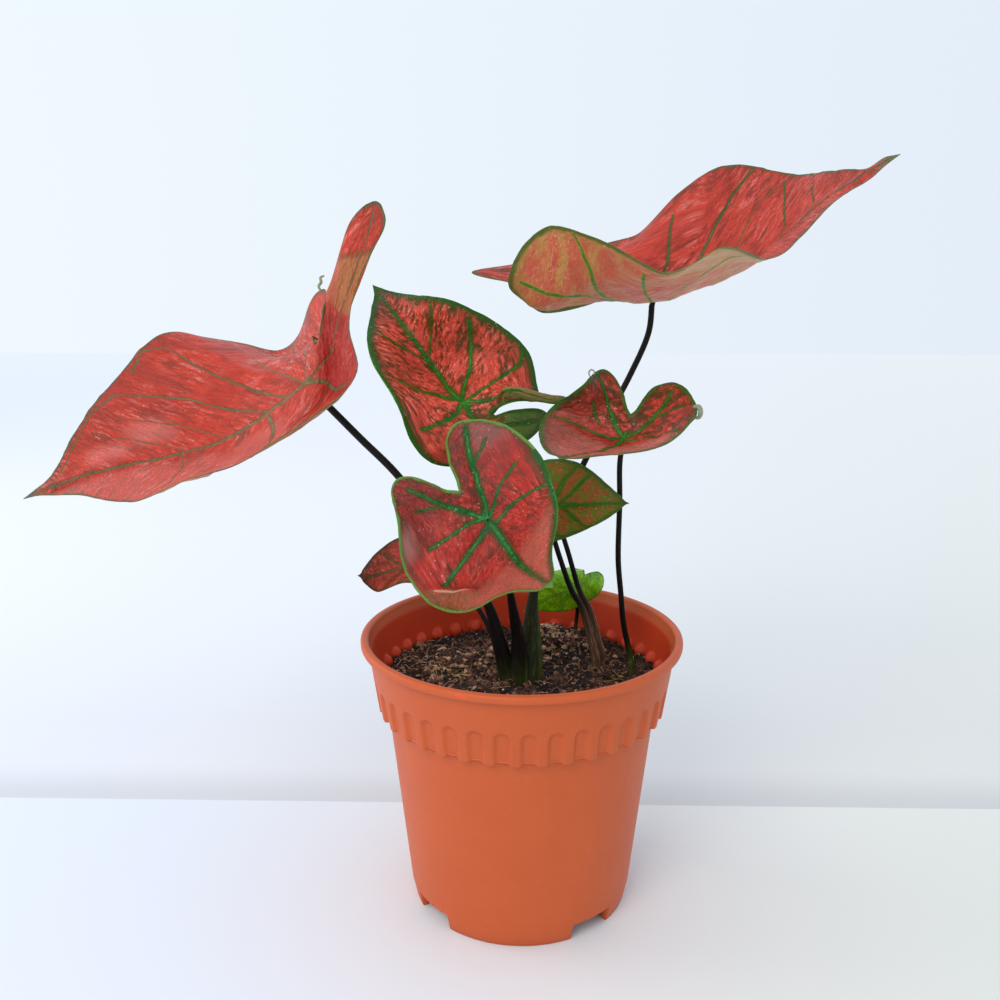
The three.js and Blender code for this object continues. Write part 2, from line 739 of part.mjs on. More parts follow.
names.forEach((name) => {
  const leaf = leaves[name];
  add(`blade_${name}`, bladeGeometry(leaf, blade.thickness), leaf.color, 0.5);
  const bladeSeat = toSolid(bladeGeometry(leaf, blade.thickness + blade.seatRoom));
  const stem = cutAll(toSolid(petioleGeometry(name, 0)), [bladeSeat, tuberSeat]);
  add(`petiole_${name}`, toGeometry(mainPiece(stem)), 0x2a2228, 0.45);
});

const box = new THREE.Box3().setFromObject(plant);
const centre = box.getCenter(new THREE.Vector3());
plant.position.set(-centre.x, -centre.y, -box.min.z);

const group = new THREE.Group();
group.add(plant);
group.updateMatrixWorld(true);

export default group;
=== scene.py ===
# %% [markdown]
# # A potted caladium
# A caladium is a tuber that sends up one leaf at a time, each a heart-shaped blade on a long stalk.
# This one grows in a thin moulded plastic nursery pot. The measured solids of the plant are loaded
# first, as a frame. Each of them is then replaced by a finer piece that keeps its form, and every
# surface gets a material drawn by nodes, so nothing here depends on a picture file.
#
# All sizes below are in millimetres, measured from the axis of the pot, with the pot on z = 0.

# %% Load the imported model
import math
import random

import bmesh
import bpy
import numpy as np
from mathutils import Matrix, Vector, noise


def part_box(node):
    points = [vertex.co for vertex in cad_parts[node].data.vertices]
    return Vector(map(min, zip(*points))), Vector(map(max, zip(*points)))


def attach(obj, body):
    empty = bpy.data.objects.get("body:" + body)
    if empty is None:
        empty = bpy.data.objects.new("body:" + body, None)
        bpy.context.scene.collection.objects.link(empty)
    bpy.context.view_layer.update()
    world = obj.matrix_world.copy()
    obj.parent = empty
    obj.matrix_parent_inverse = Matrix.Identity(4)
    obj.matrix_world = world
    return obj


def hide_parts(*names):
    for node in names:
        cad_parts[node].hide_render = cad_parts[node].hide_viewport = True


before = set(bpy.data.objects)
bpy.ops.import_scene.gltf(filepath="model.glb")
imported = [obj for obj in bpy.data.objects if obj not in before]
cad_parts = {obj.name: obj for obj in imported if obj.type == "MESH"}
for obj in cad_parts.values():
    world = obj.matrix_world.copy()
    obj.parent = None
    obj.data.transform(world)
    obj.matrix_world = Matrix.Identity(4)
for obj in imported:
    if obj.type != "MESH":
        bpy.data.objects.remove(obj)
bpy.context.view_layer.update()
pot_low, pot_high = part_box("pot")
AXIS = np.array([(pot_low.x + pot_high.x) / 2, (pot_low.y + pot_high.y) / 2, 0])
MM = 0.001
print("solids in the frame:", len(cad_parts))

# %% [markdown]
# ## Small tools
# A few helpers serve the whole lesson. Most pieces are rings of points joined to each other, so one
# helper gives the faces between rings. Another makes the mesh from points in millimetres, moved to
# the axis of the pot, so that the object itself can stay at the origin. It also hides the solid that
# the piece takes the place of and gives the piece its materials. A few shapes are drawn with bmesh
# instead, and one helper takes their points and faces.

# %% Meshes
SHARP_ANGLE = math.radians(55)  # an edge bent more than this stays a sharp edge


def turns(count):
    """Angles evenly round a circle."""
    return 2 * math.pi * np.arange(count) / count


def between_rings(rings, sides, first=0):
    """Faces that join each ring of points to the next. first is the number of the first point."""
    faces = []
    for low in range(first, first + (rings - 1) * sides, sides):
        for s in range(sides):
            after = (s + 1) % sides
            faces.append((low + s, low + after, low + sides + after, low + sides + s))
    return faces


def drawn_with(shape):
    """The points and faces of a bmesh, which is then freed."""
    shape.verts.index_update()
    points = np.array([v.co for v in shape.verts])
    faces = [tuple(v.index for v in face.verts) for face in shape.faces]
    shape.free()
    return points, faces


def make_piece(name, points, faces, materials, solid=None, slot=None, values=None):
    """A mesh in the place of a solid. values are kept on its points, for the materials."""
    mesh = bpy.data.meshes.new(name)
    mesh.from_pydata((np.asarray(points) * MM + AXIS).tolist(), [], faces)
    mesh.shade_smooth()
    mesh.set_sharp_from_angle(angle=SHARP_ANGLE)
    for material in materials:
        mesh.materials.append(material)
    for key, value in (values or {}).items():
        kind, field = ("FLOAT_VECTOR", "vector") if np.ndim(value) > 1 else ("FLOAT", "value")
        mesh.attributes.new(key, kind, "POINT").data.foreach_set(field, np.ravel(value))
    piece = bpy.data.objects.new(name, mesh)
    bpy.context.scene.collection.objects.link(piece)
    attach(piece, "root")
    if solid:
        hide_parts(solid)
    print(f"{name}: {len(points)} points, {len(faces)} faces")
    return piece


# %% [markdown]
# For the materials, one helper turns a colour as it is written for screens into the linear light
# that a shader needs, and one adds a node with its settings and links, which keeps the material
# cells short enough to read. All materials end alike: layers of colour cover a ground colour, each
# as far as its mask lets it, one pattern says how rough the surface is, and one raises its relief.

# %% Colours and nodes
MIX_A, MIX_B = 6, 7  # the colour inputs of a Mix node


def linear(hex_colour):
    """An sRGB colour such as "#C8623F" as linear red, green, blue and alpha."""
    channels = [int(hex_colour[i:i + 2], 16) / 255 for i in (1, 3, 5)]
    return [c / 12.92 if c <= 0.04045 else ((c + 0.055) / 1.055) ** 2.4 for c in channels] + [1]


def connect(tree, node, links):
    """Feeds inputs of a node. Each gets a node, one of its output sockets, or a plain value."""
    for key, value in links.items():
        if isinstance(value, bpy.types.Node):
            value = next(output for output in value.outputs if output.enabled)
        if isinstance(value, bpy.types.NodeSocket):
            tree.links.new(value, node.inputs[key])
        else:
            node.inputs[key].default_value = value


def add_node(tree, kind, links=None, **settings):
    """Adds a shader node, its kind without the words ShaderNode, with its settings and links."""
    node = tree.nodes.new("ShaderNode" + kind)
    for key, value in settings.items():
        setattr(node, key, value)
    connect(tree, node, links or {})
    return node


def add_millimetres(tree):
    """The place of a point in the scene's frame, in millimetres."""
    place = add_node(tree, "TexCoord").outputs["Object"]
    return add_node(tree, "VectorMath", {0: place, "Scale": 1 / MM}, operation="SCALE")


def new_material(name):
    """An empty material with its shader, and the node tree to draw in."""
    material = bpy.data.materials.new(name)
    material.use_nodes = True
    tree = material.node_tree
    shader = next(node for node in tree.nodes if node.type == "BSDF_PRINCIPLED")
    return material, tree, shader


def finish_surface(tree, shader, colours, rough, relief=None, more=None):
    """colours: the ground, then a mask and a colour for each layer. rough: a pattern with the least
    and the most roughness. relief: a pattern with its strength and its depth in mm."""
    ground, *layers = colours
    for mask, cover in layers:
        sides = [linear(hue) if isinstance(hue, str) else hue for hue in (ground, cover)]
        ground = add_node(tree, "Mix", {0: mask, MIX_A: sides[0], MIX_B: sides[1]}, data_type="RGBA")
    gloss = add_node(tree, "MapRange", {"Value": rough[0], "To Min": rough[1], "To Max": rough[2]})
    connect(tree, shader, {"Base Color": ground, "Roughness": gloss} | (more or {}))
    if relief:
        height, strength, depth = relief
        bump = add_node(tree, "Bump", {"Height": height, "Strength": strength, "Distance": depth * MM})
        connect(tree, shader, {"Normal": bump})


# %% [markdown]
# ## Two curves that everything follows
# The margin of a leaf and the course of a stalk are both smooth curves through a few given points.
# A centripetal Catmull-Rom spline passes through each of its points and never loops between them,
# which a Bezier curve with automatic handles can do where the points crowd together. The other
# curve is the smooth step, for all that starts or ends softly.

# %% Smooth curves through points
def smooth_curve(points, samples):
    """Places on a centripetal Catmull-Rom spline through the given points, for samples from 0 to 1."""
    points = np.asarray(points, float)
    padded = np.vstack([2 * points[0] - points[1], points, 2 * points[-1] - points[-2]])
    spans = len(points) - 1
    result = []
    for at in samples:
        place = min(at * spans, spans - 1e-9)
        span = int(place)
        rest = place - span
        p0, p1, p2, p3 = padded[span:span + 4]
        d0, d1, d2 = (math.dist(a, b) ** 0.5 for a, b in ((p0, p1), (p1, p2), (p2, p3)))
        leave = ((p1 - p0) / d0 - (p2 - p0) / (d0 + d1) + (p2 - p1) / d1) * d1
        reach = ((p2 - p1) / d1 - (p3 - p1) / (d1 + d2) + (p3 - p2) / d2) * d1
        square = -3 * p1 + 3 * p2 - 2 * leave - reach
        cube = 2 * p1 - 2 * p2 + leave + reach
        result.append(p1 + leave * rest + square * rest ** 2 + cube * rest ** 3)
    return np.array(result)


def ways_along(course):
    """The direction of a course at each of its points."""
    ways = np.gradient(course, axis=0)
    return ways / np.linalg.norm(ways, axis=1)[:, None]


def ease(values, low, high):
    """0 below low, 1 above high, and a smooth step between. high may be the smaller."""
    t = np.clip((np.asarray(values, float) - low) / (high - low), 0, 1)
    return t * t * (3 - 2 * t)


# %% [markdown]
# ## The leaf pattern
# Every leaf of the plant has the same flat pattern, a heart one unit long from where the stalk
# joins it, the heart of the leaf, to its tip. u runs across and v along the midrib. Each leaf is
# that pattern bent through its own pins: named places of the pattern and where they are in space.
# A thin plate spline does the bending. It is the surface that a springy sheet would take if it
# were held at those pins, so it folds and cups as a leaf does, with no dents between the pins.

# %% The pattern and its named places
MARGIN_HALF = [
    (0, 1), (0.035, 0.93), (0.15, 0.76), (0.31, 0.54), (0.43, 0.31), (0.475, 0.1), (0.465, -0.12),
    (0.41, -0.32), (0.32, -0.46), (0.23, -0.52), (0.14, -0.48), (0.08, -0.35), (0.035, -0.22), (0, -0.17),
]
MIDDLE_PLACES = {
    "tip": (0, 1), "rib_outer": (0, 0.66), "rib_inner": (0, 0.33), "rib_root": (0, 0.15),
    "heart": (0, 0), "sinus": (0, -0.17),
}
SIDE_PLACES = {
    "flank": (0.3, 0.56), "side": (0.43, 0.31), "shoulder": (0.475, 0.1), "waist": (0.465, -0.12),
    "hip": (0.45, -0.22), "lobe_out": (0.41, -0.32), "lobe_flank": (0.37, -0.4),
    "lobe_edge": (0.32, -0.46), "lobe_corner": (0.285, -0.5), "lobe_tip": (0.23, -0.52),
    "lobe_inner": (0.14, -0.48), "lobe_in": (0.08, -0.35), "lobe_mid": (0.21, -0.4),
    "lobe_rib": (0.15, -0.26), "web": (0.2, 0.3),
}
print("places of the pattern that a pin can hold:", len(MIDDLE_PLACES) + 2 * len(SIDE_PLACES))

# %% [markdown]
# The pins of the eight leaves follow. "right" and "left" are the sides seen from above with the
# tip pointing away. "wave" is the small ruffle of the margin. The mesh of each blade is a set of
# rings of points round the heart, and "fine" is how many rings and how many points on each.

# %% The eight leaves
LEAVES = {
    "left": {  # held out to the left, its near lobe drawn up like a tongue
        "middle": dict(
            tip=(-201, -55, 206), rib_outer=(-169, -44, 218), rib_inner=(-129, -28, 225),
            heart=(-92, -22, 250), sinus=(-91, -4, 266),
        ),
        "right": dict(
            flank=(-186, -14, 242), shoulder=(-159, 25, 269), lobe_out=(-118, 45, 259),
            lobe_tip=(-93, 26, 288), lobe_inner=(-90, 14, 279), lobe_in=(-86, 6, 269),
            lobe_rib=(-100, 16, 260),
        ),
        "left": dict(
            flank=(-145, -78, 213), side=(-116, -95, 224), shoulder=(-98, -71, 232), waist=(-74, -33, 246),
            hip=(-70, -23, 258), lobe_out=(-75, -13, 272), lobe_flank=(-71, -3, 289),
            lobe_edge=(-65, 4, 305), lobe_corner=(-60, 9, 318), lobe_tip=(-64, 13, 326),
            lobe_inner=(-77, 12, 315), lobe_in=(-87, 0, 284), lobe_mid=(-75, 1, 290),
            lobe_rib=(-83, -6, 263),
        ),
        "wave": dict(height=1.6, count=13, phase=0.6, rings=5),
        "fine": (46, 260),
    },
    "upright": {  # standing up behind the front leaf
        "middle": dict(
            tip=(-71, 38, 289), rib_outer=(-56, 18, 275), rib_inner=(-41, 17, 252), heart=(-27, -1, 240),
            sinus=(-13, -5, 235),
        ),
        "right": dict(
            flank=(-33, 8, 284), shoulder=(3, 20, 259), waist=(8, 18, 241), lobe_tip=(22, 1, 240),
            lobe_inner=(14, -3, 239), lobe_in=(3, -5, 240), lobe_rib=(-5, -9, 246),
        ),
        "left": dict(
            flank=(-68, -4, 268), shoulder=(-51, -30, 239), lobe_out=(-29, -12, 213),
            lobe_edge=(3, -2, 222), lobe_tip=(11, 3, 232), lobe_in=(-5, -10, 237),
            lobe_rib=(-14, -17, 230),
        ),
        "wave": dict(height=0.8, count=11, phase=1.1, rings=4),
        "fine": (40, 220),
    },
    "high": {  # held out to the right, cupped along its midrib like a boat
        "middle": dict(
            tip=(155, -8, 342), rib_outer=(124, 1, 323), rib_inner=(98, 13, 297), rib_root=(79, 14, 290),
            heart=(58, 15, 283), sinus=(39, 10, 285),
        ),
        "right": dict(
            flank=(108, -28, 308), side=(90, -50, 300), shoulder=(71, -68, 306), waist=(53, -52, 295),
            lobe_out=(29, -48, 309), lobe_edge=(9, -34, 313), lobe_tip=(-4, -28, 300),
            lobe_in=(8, -4, 278), lobe_rib=(24, -11, 286), web=(90, -20, 299),
        ),
        "left": dict(
            flank=(131, 30, 339), shoulder=(93, 63, 344), waist=(71, 60, 330), hip=(58, 60, 314),
            lobe_out=(44, 60, 309), lobe_edge=(-5, 50, 300), lobe_tip=(-24, 42, 294),
            lobe_inner=(-11, 33, 293), lobe_in=(6, 25, 287), lobe_rib=(23, 30, 291),
        ),
        "wave": dict(height=1.4, count=12, phase=2.2, rings=5),
        "fine": (46, 260),
    },
    "cupped": {  # the small leaf on the right, its two lobes raised
        "middle": dict(
            tip=(14, -71, 227), rib_inner=(31, -37, 224), heart=(43, -22, 227), sinus=(46, -20, 237),
        ),
        "right": dict(
            flank=(7, -39, 228), shoulder=(12, -11, 238), lobe_out=(27, -20, 251), lobe_tip=(35, -5, 254),
            lobe_in=(43, -14, 246), lobe_rib=(40, -12, 241),
        ),
        "left": dict(
            flank=(43, -58, 227), shoulder=(67, -43, 235), lobe_out=(73, -20, 243), lobe_tip=(65, -6, 249),
            lobe_in=(52, -11, 242), lobe_rib=(56, -16, 239),
        ),
        "wave": dict(height=0.6, count=9, phase=0.3, rings=4),
        "fine": (34, 190),
    },
    "front": {  # hanging in front of the others, its tip towards the viewer
        "middle": dict(
            tip=(11, -121, 192), rib_inner=(-2, -63, 184), heart=(-14, -47, 197), sinus=(-26, -46, 209),
        ),
        "right": dict(
            flank=(-11, -89, 177), shoulder=(-37, -61, 165), waist=(-48, -55, 179),
            lobe_out=(-51, -50, 197), lobe_tip=(-54, -31, 209), lobe_in=(-38, -36, 210),
            lobe_rib=(-36, -40, 202),
        ),
        "left": dict(
            flank=(12, -82, 199), shoulder=(10, -54, 220), lobe_out=(-6, -30, 233),
            lobe_tip=(-27, -24, 234), lobe_in=(-31, -34, 219), lobe_rib=(-22, -36, 218),
        ),
        "wave": dict(height=0.9, count=11, phase=1.7, rings=4),
        "fine": (40, 220),
    },
    "olive": {  # greener, behind the front leaf, pointing right
        "middle": dict(
            tip=(46, -29, 200), rib_inner=(26, -9, 195), heart=(11, -7, 194), sinus=(3, -6, 194),
        ),
        "right": dict(
            flank=(32, -21, 188), shoulder=(14, -21, 181), lobe_out=(1, -9, 176), lobe_tip=(-7, -3, 181),
        ),
        "left": dict(
            flank=(34, -11, 208), shoulder=(18, -2, 214), lobe_out=(2, 2, 210), lobe_tip=(-6, 6, 203),
        ),
        "wave": dict(height=0.5, count=8, phase=0.9, rings=4),
        "fine": (26, 150),
    },
    "green": {  # the youngest, plain green, low at the back
        "middle": dict(tip=(1, 35, 128), heart=(28, 39, 141), sinus=(32, 42, 146)),
        "right": dict(flank=(9, 37, 142), lobe_out=(21, 51, 146), lobe_tip=(28, 55, 145)),
        "left": dict(
            flank=(16, 42, 126), shoulder=(31, 45, 128), lobe_out=(41, 46, 137), lobe_tip=(42, 51, 143),
        ),
        "wave": dict(height=0.5, count=7, phase=0.2, rings=4),
        "fine": (22, 130),
    },
    "low": {  # small and red, low on the left
        "middle": dict(
            tip=(-76, -4, 159), rib_inner=(-63, 13, 156), heart=(-51, 14, 159), sinus=(-46, 15, 160),
        ),
        "right": dict(flank=(-70, 10, 165), shoulder=(-58, 17, 172), lobe_tip=(-39, 23, 169)),
        "left": dict(flank=(-68, 5, 148), shoulder=(-55, -1, 155), lobe_tip=(-38, 7, 155)),
        "wave": dict(height=0.4, count=7, phase=1.4, rings=4),
        "fine": (20, 120),
    },
}

# %% [markdown]
# A caladium's main veins part at the heart. One runs to the tip, one to the tip of each lobe, and
# the rest leave them sideways and bend to meet a vein that follows the margin. Each vein is a width
# in millimetres and its path on the pattern. The same lists sink the veins into the mesh and draw
# them in the material, so colour and shape can't drift apart.

# %% The veins
TO_LOBE_TIP = [(0, 0), (0.06, -0.09), (0.13, -0.22), (0.19, -0.36), (0.225, -0.47)]
LOW_LATERAL = [(0, 0), (0.10, -0.05), (0.22, -0.09), (0.34, -0.12), (0.42, -0.14)]
WIDE_LATERAL = [(0, 0.02), (0.14, 0.05), (0.27, 0.08), (0.38, 0.11), (0.43, 0.15)]
MAIN_LATERAL = [(0, 0.12), (0.10, 0.21), (0.20, 0.31), (0.29, 0.40), (0.32, 0.46)]
HIGH_LATERAL = [(0, 0.38), (0.09, 0.47), (0.18, 0.56), (0.21, 0.62)]
MIDRIB = [(0, -0.04), (0, 0.5), (0, 0.95)]


def mirrored(path):
    return [(-u, v) for u, v in path]


SMALL_LEAF_VEINS = [(1.5, MIDRIB)] + [
    (width, path)
    for width, right in ((1.2, TO_LOBE_TIP), (0.9, LOW_LATERAL), (1.0, WIDE_LATERAL), (1.0, MAIN_LATERAL))
    for path in (right, mirrored(right))
]
VEINS = {
    "left": [
        (1.7, [(0, -0.03), (0.02, 0.12), (0.01, 0.3), (-0.01, 0.5), (0, 0.92)]),
        (1.0, [(0, 0), (0.15, 0.02), (0.28, -0.02)]),
        (0.9, [(0, 0), (0.08, -0.14), (0.2, -0.26), (0.37, -0.36)]),
        (1.1, [(0.02, 0.08), (0.15, 0.14), (0.28, 0.2), (0.4, 0.23), (0.42, 0.31), (0.36, 0.4)]),
        (1.2, [(0.01, 0.14), (0.1, 0.23), (0.2, 0.32), (0.26, 0.43), (0.29, 0.5), (0.25, 0.6)]),
        (0.9, [(0.25, 0.6), (0.16, 0.72), (0.03, 0.88)]),
        (1.8, [(0, 0), (-0.18, -0.13), (-0.4, -0.18)]),
        (0.8, mirrored(TO_LOBE_TIP) + [(-0.22, -0.51)]),
        (1.5, [(0.01, 0.16), (-0.19, 0.16), (-0.36, 0.2)]),
        (0.7, [(-0.01, 0.44), (-0.12, 0.45), (-0.24, 0.5)]),
        (0.6, [(0, 0.28), (0.12, 0.4), (0.2, 0.55)]),
        (0.6, [(0, 0.42), (0.1, 0.55), (0.16, 0.66)]),
    ],
    "upright": [
        (3.2, [(0, -0.04), (0.01, 0.3), (-0.01, 0.6), (-0.02, 0.9)]),
        (2.3, [(0, 0), (0.16, 0.15), (0.24, 0.28), (0.32, 0.41)]),
        (2.1, [(0, -0.02), (0.2, -0.03), (0.33, 0.03), (0.41, 0.06), (0.44, 0.12)]),
        (1.9, TO_LOBE_TIP),
        (2.1, [(0, 0.02), (-0.1, 0.15), (-0.22, 0.23), (-0.31, 0.29)]),
        (2.0, [(0, 0), (-0.08, -0.03), (-0.22, -0.02), (-0.36, -0.02)]),
        (2.2, mirrored(TO_LOBE_TIP)),
        (1.2, HIGH_LATERAL),
        (1.2, mirrored(HIGH_LATERAL)),
        (5.5, [(-0.47, -0.1), (-0.48, 0.1), (-0.43, 0.32), (-0.31, 0.55), (-0.15, 0.77), (-0.03, 0.94)]),
    ],
    "high": [
        (1.9, MIDRIB),
        (1.5, [(0, 0), (0.1, -0.02), (0.25, -0.09), (0.4, -0.16)]),
        (1.8, [(0, 0), (0.06, -0.09), (0.14, -0.18), (0.28, -0.28), (0.36, -0.38)]),
        (1.5, [(0.08, -0.12), (0.15, -0.24), (0.17, -0.34), (0.18, -0.47)]),
        (1.4, [(0.02, 0.03), (0.14, 0.05), (0.25, 0.07), (0.34, 0.13), (0.41, 0.22)]),
        (1.2, MAIN_LATERAL),
        (1.7, [(0, 0.08), (-0.13, 0.12), (-0.26, 0.16), (-0.36, 0.21), (-0.43, 0.27)]),
        (1.4, [(0, 0), (-0.19, 0.01), (-0.27, -0.02), (-0.37, -0.06)]),
        (1.1, [(0, 0.45), (-0.1, 0.49), (-0.27, 0.44), (-0.34, 0.42)]),
        (1.0, [(0, 0.62), (-0.1, 0.62), (-0.22, 0.58)]),
        (0.7, [(0, 0.22), (-0.14, 0.27), (-0.25, 0.31), (-0.33, 0.39)]),
        (1.2, mirrored(TO_LOBE_TIP)),
    ],
    "cupped": [
        (1.7, MIDRIB),
        (2.1, [(0, 0), (0.09, -0.07), (0.2, -0.21), (0.26, -0.37), (0.3, -0.43)]),
        (1.3, [(0.2, -0.04), (0.25, -0.08), (0.32, -0.18)]),
        (1.9, [(0, 0), (-0.12, -0.07), (-0.2, -0.25), (-0.25, -0.42)]),
        (1.2, [(-0.17, -0.16), (-0.34, -0.27)]),
        (1.1, WIDE_LATERAL),
        (1.0, mirrored(WIDE_LATERAL)),
    ],
    "front": [
        (4.6, [(0, -0.02), (0, 0.2), (-0.01, 0.5), (-0.01, 0.92)]),
        (2.6, [(0, 0), (0.05, -0.08), (0.11, -0.18), (0.16, -0.31), (0.21, -0.43)]),
        (1.4, [(0.12, -0.21), (0.2, -0.27), (0.29, -0.31)]),
        (1.6, [(0, -0.01), (0.08, -0.05), (0.19, -0.08), (0.32, -0.11)]),
        (2.6, [(0, 0.02), (0.16, 0.04), (0.27, 0.06), (0.36, 0.08)]),
        (3.0, [(0, 0), (-0.06, -0.06), (-0.14, -0.19), (-0.19, -0.33), (-0.24, -0.46)]),
        (1.4, [(-0.17, -0.25), (-0.29, -0.34)]),
        (1.4, [(-0.02, 0), (-0.11, -0.03), (-0.21, -0.07), (-0.34, -0.1)]),
        (1.5, [(0, 0.04), (-0.18, 0.05), (-0.32, 0.1), (-0.43, 0.18)]),
        (7.5, [(-0.475, -0.06), (-0.48, 0.1), (-0.43, 0.32), (-0.31, 0.55), (-0.15, 0.77), (-0.03, 0.94)]),
    ],
    "olive": [
        (2.6, [(0, -0.04), (0.02, 0.4), (0.01, 0.92)]),
        (2.4, [(0, 0.02), (-0.13, 0.09), (-0.28, 0.16), (-0.4, 0.27)]),
        (1.6, mirrored(MAIN_LATERAL)),
        (2.0, WIDE_LATERAL),
        (1.6, MAIN_LATERAL),
        (1.8, TO_LOBE_TIP),
        (1.8, mirrored(TO_LOBE_TIP)),
    ],
    "green": SMALL_LEAF_VEINS,
    "low": SMALL_LEAF_VEINS,
}
print("veins drawn:", sum(len(veins) for veins in VEINS.values()))

# Small folds pressed up in a web: height and half width in mm, and the path of the crest.
FOLDS = {
    "front": [(2.4, 2.8, [(0.43, 0.05), (0.36, 0.14), (0.32, 0.24)])],
    "left": [(1.2, 4.0, [(0.15, 0.07), (0.30, 0.11)]), (-1.5, 4.0, [(-0.05, 0.3), (-0.3, 0.35)])],
    "high": [(1.4, 5.0, [(-0.16, 0.32), (-0.32, 0.36)]), (1.2, 5.0, [(0.12, 0.45), (0.24, 0.55)])],
}

# %% [markdown]
# ## The blades
# A blade could be a subdivided copy of the coarse solid, but its folds would stay angular. So each
# one is bent again from its pins, now over a fine mesh: two faces divided alike, each half a
# thickness from the sheet between them. What a leaf has on top of that is added: the margin is
# nicked and waves a little, the web puffs up between the veins, in pockets and here and there in a
# fold, the veins sink into the upper face and stand out as ribs below, and the blade gets thinner
# towards its margin. Two values are kept on every point for the materials: the place on the pattern
# in millimetres, and the distance to the margin.

# %% Bending a blade through its pins
def plate_through(flats, places):
    """A thin plate bent through the pins: a function from places on the pattern to places in space."""
    flats, places = np.asarray(flats, float), np.asarray(places, float)

    def bend(a, b):
        squared = ((a[:, None] - b[None]) ** 2).sum(2)
        return 0.5 * squared * np.log(np.where(squared > 0, squared, 1))

    count = len(flats)
    system = np.zeros((count + 3, count + 3))
    system[:count, :count] = bend(flats, flats)
    system[:count, count:] = np.column_stack([np.ones(count), flats])
    system[count:, :count] = system[:count, count:].T
    weights = np.linalg.solve(system, np.vstack([places, np.zeros((3, 3))]))
    return lambda at: np.hstack([bend(at, flats), np.ones((len(at), 1)), at]) @ weights


def pins_of(leaf):
    """The places on the pattern that a leaf's pins hold, and where they hold them."""
    flats, places = [], []
    for part, sign, names in (
        ("middle", 1, MIDDLE_PLACES), ("right", 1, SIDE_PLACES), ("left", -1, SIDE_PLACES),
    ):
        for name, place in leaf[part].items():
            flats.append((sign * names[name][0], names[name][1]))
            places.append(place)
    return flats, places


def leaf_length(leaf):
    middle = leaf["middle"]
    along = ("heart", "rib_root", "rib_inner", "rib_outer", "tip")
    stops = [middle[name] for name in along if name in middle]
    return sum(math.dist(a, b) for a, b in zip(stops[:-1], stops[1:]))


def distance_to_path(points, path):
    """How far each point is from a path of straight stretches."""
    nearest = np.full(len(points), np.inf)
    for start, end in zip(path[:-1], path[1:]):
        start, along = np.array(start, float), np.subtract(end, start)
        part = np.clip((points - start) @ along / (along @ along), 0, 1)
        nearest = np.minimum(nearest, np.linalg.norm(points - start - part[:, None] * along, axis=1))
    return nearest


def normals_of(points, faces):
    """The normal at each point of a mesh of quads and triangles, from the faces round it."""
    normals = np.zeros_like(points)
    for size in (3, 4):
        some = np.array([face for face in faces if len(face) == size])
        across = np.cross(points[some[:, 2]] - points[some[:, 0]], points[some[:, -1]] - points[some[:, 1]])
        for corner in range(size):
            np.add.at(normals, some[:, corner], across)
    return normals / np.linalg.norm(normals, axis=1)[:, None]


# %% The sheet in the middle of a blade
DRIP_TIPS = {"left": 0.3, "high": -0.6, "olive": 0.3, "low": 0.3}  # a tip drawn in, or widened below 0
DRIP_REACH = (0.84, 0.96)  # where on a leaf that starts and is full, and where the margin's waves end
HEART_RADIUS = 0.1  # of the small round ring at the heart, where the rings of the mesh start
RING_SPREAD = 0.8  # below 1 the rings crowd towards the margin
WAVE_FADE = 4  # how quickly the margin's waves die away inwards
NICKS, NICK_STEP = 0.008, 9  # depth of the margin's nicks in parts of the length, and how close they lie
PUFF, PUFF_REACH = 0.006, 0.06  # how high the web puffs up, and how far from a vein, in parts of the length
POCKETS, POCKET_STEP = 0.7, 0.11  # small swellings of the web in mm, and how many there are to a mm
GROOVE_DEPTH = 0.16  # of a vein in the upper face, in widths of the vein
RIB_HEIGHT, RIB_WIDTH = 0.18, 0.8  # of the same vein below, in widths of the vein


def blade_flats(name, turn, steps, length):
    """The points of a blade on the pattern, and those of its margin."""
    margin = smooth_curve(MARGIN_HALF, 1 - np.abs(1 - 2 * turn))
    margin *= np.column_stack([np.where(turn > 0.5, -1, 1), np.ones(len(turn))])
    margin[:, 0] *= 1 - DRIP_TIPS.get(name, 0) * ease(margin[:, 1], *DRIP_REACH)
    nicks = [noise.fractal(Vector((*point * NICK_STEP, length)), 0.7, 2.2, 4) for point in margin]
    margin *= 1 + NICKS * np.array(nicks)[:, None] * ease(margin[:, 1], 1, 0.9)[:, None]
    heart_ring = HEART_RADIUS * np.column_stack([np.sin(2 * math.pi * turn), np.cos(2 * math.pi * turn)])
    rings = [heart_ring + (margin - heart_ring) * part for part in steps ** RING_SPREAD]
    return np.vstack([np.zeros((1, 2)), *rings]), margin


